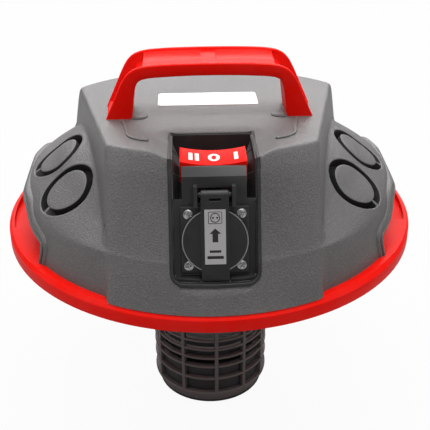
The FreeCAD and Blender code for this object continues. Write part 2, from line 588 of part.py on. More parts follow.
def make_cage():
    """Basket that keeps the float: rings, ribs and slots above a closed foot cap, its screws and the float."""
    top = "rim_z - bowl_drop"
    wall_r = "cage_r - ring_stand"
    body = revolved("cage_body", [
        (wall_r, "0"), (wall_r, top + " - flange_wall"), ("flange_r", top + " - flange_wall"), ("flange_r", top),
        (wall_r + " - cage_wall", top), (wall_r + " - cage_wall", "cage_wall"), ("12", "cage_wall"), ("12", "0")])
    head = RIM - S["bowl_drop"] - S["flange_wall"]
    inside = S["cage_r"] - S["ring_stand"] - S["cage_wall"]
    levels = [S["ring_first"] + S["ring_pitch"] * i for i in range(8)]
    levels = [z for z in levels if z < head - 8]
    rings = [tube(S["cage_r"], S["cage_r"] - S["ring_stand"] - 0.5, z - S["ring_wall"] / 2, z + S["ring_wall"] / 2)
             for z in levels + [S["low_ring"]]]
    foot_r, band_top = S["cage_r"] - S["foot_draw"], S["band_height"]
    band = turned([(S["cage_r"] - S["ring_stand"] - 0.5, 0), (foot_r + 2.5, 0), (S["cage_r"], band_top - 3),
                   (S["cage_r"], band_top), (S["cage_r"] - S["ring_stand"] - 0.5, band_top)])
    slots = []
    ribs = ring_of(slab_box(0, 2 * S["cage_r"], -S["rib_half"], S["rib_half"], 0, head), 10, 18)
    for low, high in zip(levels, levels[1:]):
        gap = tube(S["cage_r"] + 1, inside - 1, low + S["ring_wall"] / 2, high - S["ring_wall"] / 2)
        for rib in ribs:
            gap = gap.cut(rib)
        slots.append(gap)
    whole = fused("cage_with_rings", body, shaped("cage_rings", union(rings + [band])))
    holes = ring_of(Part.makeCylinder(S["shank_r"] + 0.3, 20, V(S["flange_r"] - S["cage_screw_edge"], 0, head - 8)), 4, 45)
    finished = cut("cage_finished", whole, shaped("cage_slots", Part.makeCompound(slots)),
                   shaped("cage_holes", Part.makeCompound(holes)))
    reach = 2 * S["cage_r"]
    foot_room = shaped("cage_foot_room", slab_box(-reach, reach, -reach, reach, -reach, band_top))
    keep("float_cage", cut("cage_basket", finished, foot_room))
    keep("cage_foot", common("cage_foot_cap", finished, foot_room))
    placed = []
    for i in range(4):
        one = screw(2.8, 1.8, S["shank_r"], S["flange_wall"] + 2)
        one.rotate(ORIGIN, X, 180)
        one.translate(V(S["flange_r"] - S["cage_screw_edge"], 0, head))
        one.rotate(ORIGIN, Z, 45 + 90 * i)
        placed.append(one)
    keep("cage_screws", shaped("cage_screw_set", Part.makeCompound(placed)))
    cup_r, cup_top = "cage_r - ring_stand - cage_wall - float_gap", "cage_wall + float_height"
    keep("float_cup", revolved("float_cup_turned", [
        (cup_r, "cage_wall"), (cup_r, cup_top), ("0", cup_top), ("0", cup_top + " - float_wall"),
        (cup_r + " - float_wall", cup_top + " - float_wall"), (cup_r + " - float_wall", "cage_wall")]))


# ---------------------------------------------------------------- motor

def make_fan_stages():
    """Mat, fan housing, the two impellers with what stands between them, and the nut that holds them."""
    keep("motor_mat", revolved("motor_mat_ring", [
        ("pan_r - 22", "rim_z - bowl_drop + lid_wall"), ("pan_r - 6", "rim_z - bowl_drop + lid_wall"),
        ("pan_r - 6", "rim_z - bowl_drop + lid_wall + mat_wall"),
        ("pan_r - 22", "rim_z - bowl_drop + lid_wall + mat_wall")]))
    foot = "rim_z - bowl_drop + lid_wall + mat_wall"
    pan = revolved("pan_pressing", [
        ("eye_r", foot), ("pan_r", foot), ("pan_r", foot + " + pan_height"), ("pan_r - pan_wall", foot + " + pan_height"),
        ("pan_r - pan_wall", foot + " + pan_wall"), ("eye_r", foot + " + pan_wall")])
    window = slab_box(S["pan_r"] - 8, S["pan_r"] + 8, -12, 12, PAN_TOP - 18, PAN_TOP - 6)
    keep("fan_housing", cut("pan_finished", pan, shaped("pan_windows", Part.makeCompound(ring_of(window, 6, 15)))))
    low, high = PAN_FOOT + 6, PAN_FOOT + 26
    for name, z in (("impeller_lower", low), ("impeller_upper", high)):
        keep(name, shaped(name + "_wheel", impeller(z)))
    keep("diffuser", revolved("diffuser_plate", [
        ("shaft_r + 4.5", foot + " + 21.7"), ("pan_r - pan_wall - 0.1", foot + " + 21.7"),
        ("pan_r - pan_wall - 0.1", foot + " + 24"), ("shaft_r + 4.5", foot + " + 24")]))
    keep("impeller_spacer", shaped("spacer_tube", tube(S["shaft_r"] + 3, S["shaft_r"], low + S["wheel_height"], high)))
    hexagon = [V(8 * math.cos(math.tau * i / 6), 8 * math.sin(math.tau * i / 6), low - 4) for i in range(6)]
    nut = prism(hexagon, 4 * Z).cut(Part.makeCylinder(S["shaft_r"], 10, V(0, 0, low - 6)))
    keep("impeller_nut", shaped("nut_hexagon", nut))


def impeller(z):
    """Closed fan wheel: two sheet discs with leaning blades between them and a hub."""
    sheet_wall, high, radius = S["sheet_wall"], S["wheel_height"], S["wheel_r"]
    back = tube(radius, S["shaft_r"], z + high - sheet_wall, z + high)
    front = tube(radius, S["eye_r"] - 3, z, z + sheet_wall)
    hub = tube(S["shaft_r"] + 4, S["shaft_r"], z, z + high)
    blade = slab_box(S["eye_r"], radius - 3, -0.6, 0.6, z + sheet_wall / 2, z + high - sheet_wall / 2)
    blade.rotate(V(S["eye_r"], 0, 0), Z, 25)
    rim = Part.makeCylinder(radius, 2 * high, V(0, 0, z - high / 2))
    return union([back, front, hub] + [one.common(rim) for one in ring_of(blade, 8)])


def make_motor():
    """Brackets, stator, armature, commutator, bearings, brush gear and cooling fan, from the bottom up."""
    top = PAN_TOP
    keep("lower_bracket", shaped("lower_bracket_casting", lower_bracket(top)))
    keep("upper_bracket", shaped("upper_bracket_casting", upper_bracket()))
    bearing = S["bearing_height"]
    for name, z in (("lower_bearing", top + 1.5), ("upper_bearing", UPPER_SEAT)):
        keep(name, shaped(name + "_ring", tube(S["bearing_r"], S["shaft_r"] + S["running_gap"], z, z + bearing)))
    core = Part.makeCylinder(S["core_r"], S["stack"], V(0, 0, STACK_FOOT))
    core = core.common(slab_box(-60, 60, -S["yoke_half"], S["yoke_half"], STACK_FOOT, STACK_TOP))
    core = core.cut(Part.makeCylinder(S["bore_r"], S["stack"], V(0, 0, STACK_FOOT)))
    coils = []
    for side in (-1, 1):
        y0, y1 = sorted((side * S["coil_in"], side * S["coil_out"]))
        for x0, x1 in ((S["coil_bore"] - 0.3, S["coil_half"] + 0.3), (-S["coil_half"] - 0.3, 0.3 - S["coil_bore"])):
            core = core.cut(slab_box(x0, x1, y0 - 0.3, y1 + 0.3, STACK_FOOT, STACK_TOP))
        coil = slab_box(-S["coil_half"], S["coil_half"], y0, y1, STACK_FOOT - S["coil_head"], STACK_TOP + S["coil_head"])
        coils.append(coil.cut(slab_box(-S["coil_bore"], S["coil_bore"], y0 - 1, y1 + 1,
                                       STACK_FOOT - 2.8, STACK_TOP + 2.8)))
    keep("stator_core", shaped("stator_stack", core))
    keep("field_coils", shaped("field_coil_pair", Part.makeCompound(coils)))
    rotor_r = S["bore_r"] - S["air_gap"]
    rotor = tube(rotor_r, S["shaft_r"], STACK_FOOT, STACK_TOP)
    slot = slab_box(rotor_r - 7, rotor_r + 1, -1.6, 1.6, STACK_FOOT, STACK_TOP)
    for one in ring_of(slot, 12):
        rotor = rotor.cut(one)
    keep("armature_core", shaped("armature_stack", rotor))
    bar = slab_box(rotor_r - 6.8, rotor_r - 1, -1.3, 1.3, STACK_FOOT - 2, STACK_TOP + 2)
    heads = [tube(19.6, S["shaft_r"] + 1.5, STACK_FOOT - 6, STACK_FOOT - 0.2),
             tube(19.6, S["shaft_r"] + 1.5, STACK_TOP + 0.2, STACK_TOP + 6)]
    caps = [tube(rotor_r - 1, 19, STACK_FOOT - 2, STACK_FOOT - 0.2), tube(rotor_r - 1, 19, STACK_TOP + 0.2, STACK_TOP + 2)]
    keep("armature_winding", shaped("armature_coils", union(heads + caps + ring_of(bar, 12))))
    ring = tube(S["commutator_r"], S["shaft_r"], BRUSH_Z - 6, BRUSH_Z + 6)
    for one in ring_of(slab_box(S["commutator_r"] - 1, 20, -0.3, 0.3, BRUSH_Z - 7, BRUSH_Z + 7), 12):
        ring = ring.cut(one)
    keep("commutator", shaped("commutator_ring", ring))
    shaft = Part.makeCylinder(S["shaft_r"], FAN_Z + 6 - PAN_FOOT, V(0, 0, PAN_FOOT))
    keep("motor_shaft", shaped("motor_shaft_rod", shaft))
    fan = tube(S["shaft_r"] + 3, S["shaft_r"], FAN_Z, FAN_Z + 6).fuse(tube(S["fan_r"], S["shaft_r"], FAN_Z, FAN_Z + 1.2))
    blade = slab_box(S["shaft_r"] + 2, S["fan_r"] - 0.5, -0.7, 0.7, FAN_Z + 1, FAN_Z + 6)
    keep("cooling_fan", shaped("cooling_fan_wheel", union([fan] + ring_of(blade, 9))))
    make_brush_gear()


BRUSH_Z = STACK_TOP + 14
UPPER_SEAT = BRUSH_Z + 7.5
FAN_Z = UPPER_SEAT + 10.5


def lower_bracket(z):
    """Disc that closes the fan housing and seats the lower bearing."""
    bracket = turned([(S["bearing_r"] - 3, z), (S["pan_r"], z), (S["pan_r"], z + S["bracket_wall"]),
                      (S["bearing_r"] + 3, z + S["bracket_wall"]), (S["bearing_r"] + 3, z + 8.5),
                      (S["bearing_r"], z + 8.5), (S["bearing_r"], z + 1.5), (S["bearing_r"] - 3, z + 1.5)])
    for x in (-S["bracket_screw_x"], S["bracket_screw_x"]):
        bracket = bracket.cut(Part.makeCylinder(S["shank_r"], 20, V(x, 0, z - 5)))
    return bracket


def upper_bracket():
    """Two legs, a brush ring and the bridge that seats the upper bearing."""
    foot = PAN_TOP + S["bracket_wall"]
    inner = S["core_r"] + 0.3
    leg = slab_box(inner, inner + 3, -10, 10, foot, UPPER_SEAT + 7)
    shoe = slab_box(inner, 58, -7, 7, foot, foot + 2.5)
    bridge = slab_box(-inner - 3, inner + 3, -10, 10, UPPER_SEAT + 7, UPPER_SEAT + 9.5)
    seat = Part.makeCylinder(S["bearing_r"] + 2.5, 7.5, V(0, 0, UPPER_SEAT))
    deck = tube(inner + 1, 21, STACK_TOP + 8.4, STACK_TOP + 10)
    whole = union(pair(leg) + pair(shoe) + [bridge, seat, deck])
    whole = whole.cut(Part.makeCylinder(S["bearing_r"], 7, V(0, 0, UPPER_SEAT)))
    whole = whole.cut(Part.makeCylinder(S["bearing_r"] - 3, 20, V(0, 0, UPPER_SEAT)))
    for x in (-S["bracket_screw_x"], S["bracket_screw_x"]):
        whole = whole.cut(Part.makeCylinder(S["shank_r"] + 0.2, 20, V(x, 0, foot - 5)))
    return whole


def make_brush_gear():
    """Brush holders on the brush ring, with their carbon brushes and springs, and the bracket's screws."""
    holders, brushes, springs = [], [], []
    for turn in (90, 270):
        holder = slab_box(14, 38, -4.5, 4.5, STACK_TOP + 10, BRUSH_Z + 4.4)
        holder = holder.cut(slab_box(13, 36.5, -3, 3, BRUSH_Z - 3.2, BRUSH_Z + 3.2))
        brush = slab_box(S["commutator_r"] + 0.3, 26, -2.9, 2.9, BRUSH_Z - 3.1, BRUSH_Z + 3.1)
        coil = Part.makeCylinder(2.4, 10.4, V(26, 0, BRUSH_Z), X).cut(Part.makeCylinder(1.6, 10.4, V(26, 0, BRUSH_Z), X))
        for shape, where in ((holder, holders), (brush, brushes), (coil, springs)):
            shape.rotate(ORIGIN, Z, turn)
            where.append(shape)
    keep("brush_holders", shaped("brush_holder_pair", Part.makeCompound(holders)))
    keep("carbon_brushes", shaped("carbon_brush_pair", Part.makeCompound(brushes)))
    keep("brush_springs", shaped("brush_spring_pair", Part.makeCompound(springs)))
    screws = []
    for x in (-S["bracket_screw_x"], S["bracket_screw_x"]):
        one = screw(3, 2, S["shank_r"], S["bracket_wall"] + 2.4)
        one.translate(V(x, 0, PAN_TOP + S["bracket_wall"] + 2.5))
        screws.append(one)
    keep("motor_screws", shaped("motor_screw_pair", Part.makeCompound(screws)))


def make_hood():
    """Clamp ring on the bracket's edge, the hood that presses on it, the hood's screws and the foam."""
    low = PAN_TOP + S["bracket_wall"]
    wall = S["hood_wall"]
    keep("clamp_ring", shaped("clamp_ring_rubber", tube(S["pan_r"], S["pan_r"] - 6, low, low + 3)))
    step, brim, cap = low + 3, S["pan_r"] + 6, UPPER_SEAT + 20
    hood = turned([(brim, DECK), (S["hood_foot_r"], DECK), (S["hood_foot_r"], DECK + 2.5), (brim + wall, DECK + 2.5),
                   (brim + wall, step + wall), (S["pan_r"] - 8 + wall, step + wall), (S["hood_top_r"] + wall, cap),
                   (S["hood_top_r"] - 12, cap), (S["hood_top_r"] - 12, cap - wall), (S["hood_top_r"], cap - wall),
                   (S["pan_r"] - 8, step), (brim, step)])
    for hole in ring_of(Part.makeCylinder(S["shank_r"] + 0.3, 9, V(S["hood_foot_r"] - 5, 0, DECK - 3)), 4, 45):
        hood = hood.cut(hole)
    keep("motor_hood", shaped("motor_hood_shell", hood))
    one = screw(3.2, 2, S["shank_r"], 5.4)
    one.translate(V(S["hood_foot_r"] - 5, 0, DECK + 2.5))
    keep("hood_screws", shaped("hood_screw_set", Part.makeCompound(ring_of(one, 4, 45))))
    foam = tube(126, S["hood_foot_r"] + 2, DECK, DECK + 21)
    keep("sound_foam", shaped("sound_foam_ring", foam))


# ---------------------------------------------------------------- electrics and fasteners

def make_electrics():
    """Control board on its posts with the capacitor and terminals, the wiring and the cable gland."""
    deck = DECK + S["board_rise"]
    top = deck + S["board_wall"]
    board = slab_box(-S["board_half"], S["board_half"], S["board_y"], S["board_y"] + S["board_depth"], deck, top)
    keep("control_board", shaped("control_board_sheet", board))
    can = Part.makeCylinder(7, 18, V(-16, 134, top))
    keep("suppressor_capacitor", shaped("capacitor_can", can))
    terminals = slab_box(6, 26, 128, 138, top, top + 10.4)
    keep("terminal_block", shaped("terminal_body", terminals))
    bundle = Part.makeTorus(122, 2.4, V(0, 0, DECK + 30), Z, -180, 180, 118)
    bundle.rotate(ORIGIN, Z, -40)
    keep("wiring_harness", shaped("wiring_bundle", bundle))
    barrel = Part.makeCylinder(S["gland_r"] - 0.1, 14, V(0, 150, RIM + S["gland_rise"]), Y)
    flange = Part.makeCylinder(S["gland_r"] + 3.5, 4, V(0, SKIRT_R - 0.2, RIM + S["gland_rise"]), Y)
    bore = Part.makeCylinder(3.6, 30, V(0, 145, RIM + S["gland_rise"]), Y)
    outside = flange.cut(cover_form(0))
    keep("cable_gland", shaped("cable_gland_rubber", barrel.fuse(outside).cut(bore)))
    screws = []
    for i in range(4):
        one = screw(3.4, 2, S["shank_r"], S["lid_wall"] + 12)
        one.rotate(ORIGIN, X, 180)
        one.translate(V(S["boss_axis_r"], 0, DECK - S["lid_wall"]))
        one.rotate(ORIGIN, Z, 45 + 90 * i)
        screws.append(one)
    keep("cover_screws", shaped("cover_screw_set", Part.makeCompound(screws)))


# ---------------------------------------------------------------- build, check and write

def write_parts():
    """Check every object and each sub-part's shape, then write one file for each node."""
    doc.recompute()
    bad = [item.Name + " " + str(item.State) for item in doc.Objects
           if "Invalid" in item.State or "Error" in item.State]
    for name, item in nodes.items():
        shape = item.Shape
        if shape.isNull() or not shape.isValid() or not shape.Solids:
            bad.append(name + " has no sound solid")
    if bad:
        raise RuntimeError("; ".join(bad))
    os.makedirs("parts", exist_ok=True)
    for name, item in nodes.items():
        item.Shape.exportStep(os.path.join("parts", name + ".step"))
    print(len(nodes), "nodes written")


make_lid()
make_cover()
make_handle()
make_housing()
make_socket()
make_socket_lid()
make_switch()
make_cage()
make_fan_stages()
make_motor()
make_hood()
make_electrics()
write_parts()
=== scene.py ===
"""Motor head of a wet-and-dry vacuum cleaner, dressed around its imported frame.

A red lid ring carries a grey moulded cover with a channel handle, a rocker switch, a mains socket with a
sprung lid and a float cage below. Lengths inside the classes are millimetres in the frame of the part; meshes
are metres.
"""

import json
import logging
import math
from collections.abc import Callable, Sequence
from dataclasses import dataclass
from enum import Enum

import bmesh
import bpy
import numpy as np
from mathutils import Matrix, Vector


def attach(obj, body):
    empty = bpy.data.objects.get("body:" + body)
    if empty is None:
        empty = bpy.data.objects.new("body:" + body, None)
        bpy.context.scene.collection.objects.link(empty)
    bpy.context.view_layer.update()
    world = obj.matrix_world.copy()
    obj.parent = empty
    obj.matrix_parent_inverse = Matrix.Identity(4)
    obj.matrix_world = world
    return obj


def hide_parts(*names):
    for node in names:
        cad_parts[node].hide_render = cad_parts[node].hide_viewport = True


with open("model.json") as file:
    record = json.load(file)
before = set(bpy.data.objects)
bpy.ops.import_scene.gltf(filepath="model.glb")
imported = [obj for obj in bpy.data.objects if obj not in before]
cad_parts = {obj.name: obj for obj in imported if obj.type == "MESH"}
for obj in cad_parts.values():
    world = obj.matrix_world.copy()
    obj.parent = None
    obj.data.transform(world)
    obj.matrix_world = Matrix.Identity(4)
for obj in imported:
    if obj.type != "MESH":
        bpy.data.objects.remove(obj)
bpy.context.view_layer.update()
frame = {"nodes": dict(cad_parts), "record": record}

log = logging.getLogger("motor_head")
Array = np.ndarray
MM = 0.001
RIM = 170.0  # height of the lid ring's lower edge


# ---------------------------------------------------------------- mesh helpers

def soft_max(a: Array, b: Array, blend: float | Array) -> Array:
    """Return the larger of two fields, rounded where they cross: half of a + b + sqrt((a - b)^2 + blend^2)."""
    return 0.5 * (a + b + np.sqrt((a - b) ** 2 + np.square(blend)))


def soft_min(a: Array, b: Array, blend: float | Array) -> Array:
    """Return the smaller of two fields, rounded where they cross."""
    return -soft_max(-a, -b, blend)


def ease(t: Array) -> Array:
    """Return the smooth step 3t^2 - 2t^3 of a value held between 0 and 1."""
    t = np.clip(t, 0.0, 1.0)
    return t * t * (3.0 - 2.0 * t)


def full_turn(count: int) -> Array:
    """Return angles at even steps round a full turn, the last one step short of the first."""
    return np.linspace(0, 2 * math.pi, count, endpoint=False)


def grid_faces(rows: int, cols: int, wrap_rows: bool = False, wrap_cols: bool = False) -> Array:
    """Return the quads of a grid whose points run row by row.

    Args:
        rows: number of rows of points.
        cols: number of points in a row.
        wrap_rows: whether the last row joins the first.
        wrap_cols: whether each row closes on itself.

    Returns:
        Array of shape (faces, 4) of point numbers.
    """
    row_steps, col_steps = rows if wrap_rows else rows - 1, cols if wrap_cols else cols - 1
    i, j = np.meshgrid(np.arange(row_steps), np.arange(col_steps), indexing="ij")
    i2, j2 = (i + 1) % rows, (j + 1) % cols
    quads = np.stack([i * cols + j, i * cols + j2, i2 * cols + j2, i2 * cols + j], axis=-1)
    return quads.reshape(-1, 4)


def with_hub(points: Array) -> tuple[Array, Array, Array]:
    """Close a grid of rings with one point in the middle of its last ring.

    Args:
        points: array (rows, cols, 3), each row closed on itself.

    Returns:
        The points with the middle one added, the grid's quads and the triangles round the middle.
    """
    rows, cols = points.shape[:2]
    flat = np.concatenate([points.reshape(-1, 3), points[-1].mean(0, keepdims=True)])
    k, last = np.arange(cols), (rows - 1) * cols
    fan = np.stack([last + k, last + (k + 1) % cols, np.full(cols, rows * cols)], -1)
    return flat, grid_faces(rows, cols, wrap_cols=True), fan


def mesh_piece(name: str, points: Array, faces: Array | Sequence[Sequence[int]],
               crease: float = 40.0) -> bpy.types.Object:
    """Return a linked mesh object made of points in millimetres.

    Args:
        name: name of the piece.
        points: array (n, 3).
        faces: point numbers of each face.
        crease: edges that bend more than this many degrees stay sharp.

    Returns:
        The new object, which sits at the origin.
    """
    mesh = bpy.data.meshes.new(name)
    faces = faces.tolist() if isinstance(faces, np.ndarray) else [list(f) for f in faces]
    mesh.from_pydata((np.asarray(points, float) * MM).tolist(), [], faces)
    mesh.validate()
    mesh.shade_smooth()
    mesh.set_sharp_from_angle(angle=math.radians(crease))
    piece = bpy.data.objects.new(name, mesh)
    bpy.context.scene.collection.objects.link(piece)
    return piece


def drop_loose_points(piece: bpy.types.Object) -> None:
    """Delete the points of a piece that no face uses."""
    form = bmesh.new()
    form.from_mesh(piece.data)
    bmesh.ops.delete(form, geom=[v for v in form.verts if not v.link_faces], context="VERTS")
    form.to_mesh(piece.data)
    form.free()


def turn_out(piece: bpy.types.Object) -> None:
    """Turn every face of a closed piece outwards."""
    form = bmesh.new()
    form.from_mesh(piece.data)
    bmesh.ops.recalc_face_normals(form, faces=form.faces)
    form.to_mesh(piece.data)
    form.free()


def joined(parts: Sequence[tuple[Array, Array]]) -> tuple[Array, Array]:
    """Return one set of points and quads out of several, each given as (points, quads)."""
    shift = np.cumsum([0] + [points.size // 3 for points, _ in parts[:-1]])
    points = np.concatenate([points.reshape(-1, 3) for points, _ in parts])
    return points, np.concatenate([quads + s for (_, quads), s in zip(parts, shift)])


def swept(path: Array, across: Array, out: Array, profile: Array,
          closed: bool = False) -> tuple[Array, Array]:
    """Carry a closed profile along a path: point = path + a * across + b * out for each (a, b) of the profile.

    Args:
        path: points (n, 3).
        across: unit vectors (n, 3) of the profile's first axis.
        out: unit vectors (n, 3) of its second axis.
        profile: corners (m, 2).
        closed: whether the path closes on itself; an open path gets its two ends filled.

    Returns:
        Points and quads.
    """
    points = (path[:, None, :] + profile[None, :, :1] * across[:, None, :]
              + profile[None, :, 1:] * out[:, None, :])
    rows, cols = points.shape[:2]
    quads = grid_faces(rows, cols, wrap_rows=closed, wrap_cols=True)
    points = points.reshape(-1, 3)
    if not closed:
        centres = np.stack([points[:cols].mean(0), points[-cols:].mean(0)])
        here, last_row = np.arange(cols), (rows - 1) * cols
        after = (here + 1) % cols
        foot, head = np.full(cols, rows * cols), np.full(cols, rows * cols + 1)
        first = np.stack([foot, after, here, here], -1)
        last = np.stack([head, last_row + here, last_row + after, last_row + after], -1)
        points = np.concatenate([points, centres])
        quads = np.concatenate([quads, first, last])
    return points, quads


def clean_faces(quads: Array) -> list[list[int]]:
    """Return faces as lists, with a corner that is named twice kept once."""
    return [list(dict.fromkeys(face)) for face in quads.tolist()]


def rounded_bar(width: float, height: float, radius: float, steps: int = 4) -> Array:
    """Return the outline of a bar with rounded corners, centred on the origin, as corners (m, 2)."""
    turn = np.linspace(0, math.pi / 2, steps + 1)
    corner = radius * np.stack([np.cos(turn), np.sin(turn)], -1)
    parts = []
    for k, (sx, sy) in enumerate(((1, 1), (-1, 1), (-1, -1), (1, -1))):
        c, s = math.cos(k * math.pi / 2), math.sin(k * math.pi / 2)
        middle = [sx * (width / 2 - radius), sy * (height / 2 - radius)]
        parts.append(corner @ np.array([[c, s], [-s, c]]) + middle)
    return np.concatenate(parts)


def smooth_path(knots: Array, count: int) -> Array:
    """Return points at even steps along a line through knots; each coordinate is a cubic between two knots."""
    knots = np.asarray(knots, float)
    span = np.concatenate([[0.0], np.cumsum(np.linalg.norm(np.diff(knots, axis=0), axis=1))])
    slope = np.gradient(knots, span, axis=0)
    at = np.linspace(0, span[-1], count)
    k = np.clip(np.searchsorted(span, at, side="right") - 1, 0, len(span) - 2)
    h = (span[k + 1] - span[k])[:, None]
    t = (at[:, None] - span[k][:, None]) / h
    return ((1 + 2 * t) * (1 - t) ** 2 * knots[k] + t * (1 - t) ** 2 * h * slope[k]
            + t * t * (3 - 2 * t) * knots[k + 1] + t * t * (t - 1) * h * slope[k + 1])


def unit(v: Array) -> Array:
    """Return vectors scaled to length one."""
    return v / np.maximum(np.linalg.norm(v, axis=-1, keepdims=True), 1e-12)


# ---------------------------------------------------------------- finishes

class Grain(Enum):
    """Kinds of moulded or machined surface."""

    ERODED = "eroded"
    SATIN = "satin"
    GLOSS = "gloss"
    BRUSHED = "brushed"
    WOUND = "wound"
    FOAM = "foam"


@dataclass(frozen=True)
class Finish:
    """One material: colour in linear light and how its surface breaks up."""

    colour: tuple[float, float, float]
    grain: Grain
    roughness: float
    metallic: float = 0.0
    coat: float = 0.0
    mottle: float = 0.08
    pitch: float = 1.2
    depth: float = 0.06
    specular: float = 0.5


FINISHES = {
    "red_plastic": Finish((0.80, 0.006, 0.002), Grain.GLOSS, 0.44, mottle=0.04, pitch=2.6, depth=0.015,
                          specular=0.06),
    "cover_plastic": Finish((0.088, 0.084, 0.083), Grain.ERODED, 0.44, mottle=0.95, pitch=1.15, depth=0.34),
    "black_plastic": Finish((0.020, 0.019, 0.020), Grain.SATIN, 0.42, mottle=0.10, pitch=1.6, depth=0.03),
    # vent slot: near-black, painted shade for the deep shadow inside each vent's ring slot
    "vent_slot_shade": Finish((0.006, 0.006, 0.006), Grain.SATIN, 0.7, mottle=0.2, pitch=2.0, depth=0.02),
    "module_plastic": Finish((0.019, 0.018, 0.018), Grain.SATIN, 0.44, mottle=0.10, pitch=1.4, depth=0.03),
    "lid_plastic": Finish((0.010, 0.010, 0.010), Grain.SATIN, 0.5, mottle=0.08, pitch=1.4, depth=0.02),
    "cage_plastic": Finish((0.092, 0.082, 0.080), Grain.SATIN, 0.46, mottle=0.08, pitch=1.6, depth=0.03),
    "label_white": Finish((0.90, 0.90, 0.90), Grain.SATIN, 0.5, mottle=0.02, pitch=3.0, depth=0.004),
    "label_silver": Finish((0.50, 0.49, 0.49), Grain.BRUSHED, 0.36, metallic=0.35, mottle=0.05, pitch=0.8,
                           depth=0.01),
    "print_black": Finish((0.012, 0.011, 0.012), Grain.SATIN, 0.5, mottle=0.05, pitch=0.8, depth=0.004),
    "print_white": Finish((0.92, 0.91, 0.90), Grain.SATIN, 0.42, mottle=0.03, pitch=0.8, depth=0.004),
    "steel": Finish((0.62, 0.62, 0.62), Grain.BRUSHED, 0.30, metallic=1.0, mottle=0.08, pitch=0.7,
                    depth=0.015),
    "aluminium": Finish((0.62, 0.63, 0.65), Grain.ERODED, 0.38, metallic=1.0, mottle=0.06, pitch=0.9,
                        depth=0.03),
    "copper": Finish((0.55, 0.20, 0.07), Grain.WOUND, 0.32, metallic=1.0, mottle=0.12, pitch=0.9, depth=0.08),
    "brass": Finish((0.62, 0.42, 0.14), Grain.BRUSHED, 0.30, metallic=1.0, mottle=0.08, pitch=0.8, depth=0.01),
    # cage inside: near-black, painted shade seen between the cage's rings; also given to the float cup
    "cage_inside_shade": Finish((0.012, 0.011, 0.012), Grain.SATIN, 0.5, mottle=0.10, pitch=1.6, depth=0.03),
    "rubber": Finish((0.017, 0.017, 0.017), Grain.SATIN, 0.62, mottle=0.10, pitch=2.0, depth=0.04),
    "foam": Finish((0.030, 0.030, 0.032), Grain.FOAM, 0.95, mottle=0.30, pitch=2.4, depth=0.5),
    # lid rim: light grey, a painted highlight along the socket lid's edge
    "hood_plastic": Finish((0.20, 0.20, 0.19), Grain.SATIN, 0.5, mottle=0.06, pitch=1.8, depth=0.03),
    "carbon": Finish((0.020, 0.020, 0.021), Grain.SATIN, 0.7, mottle=0.2, pitch=0.6, depth=0.02),
    "board": Finish((0.02, 0.10, 0.045), Grain.SATIN, 0.45, mottle=0.12, pitch=1.2, depth=0.01),
    "cable_plastic": Finish((0.030, 0.028, 0.028), Grain.SATIN, 0.5, mottle=0.08, pitch=1.6, depth=0.02),
    "floor": Finish((0.45, 0.45, 0.45), Grain.SATIN, 0.6, mottle=0.004, pitch=60.0, depth=0.0),
}


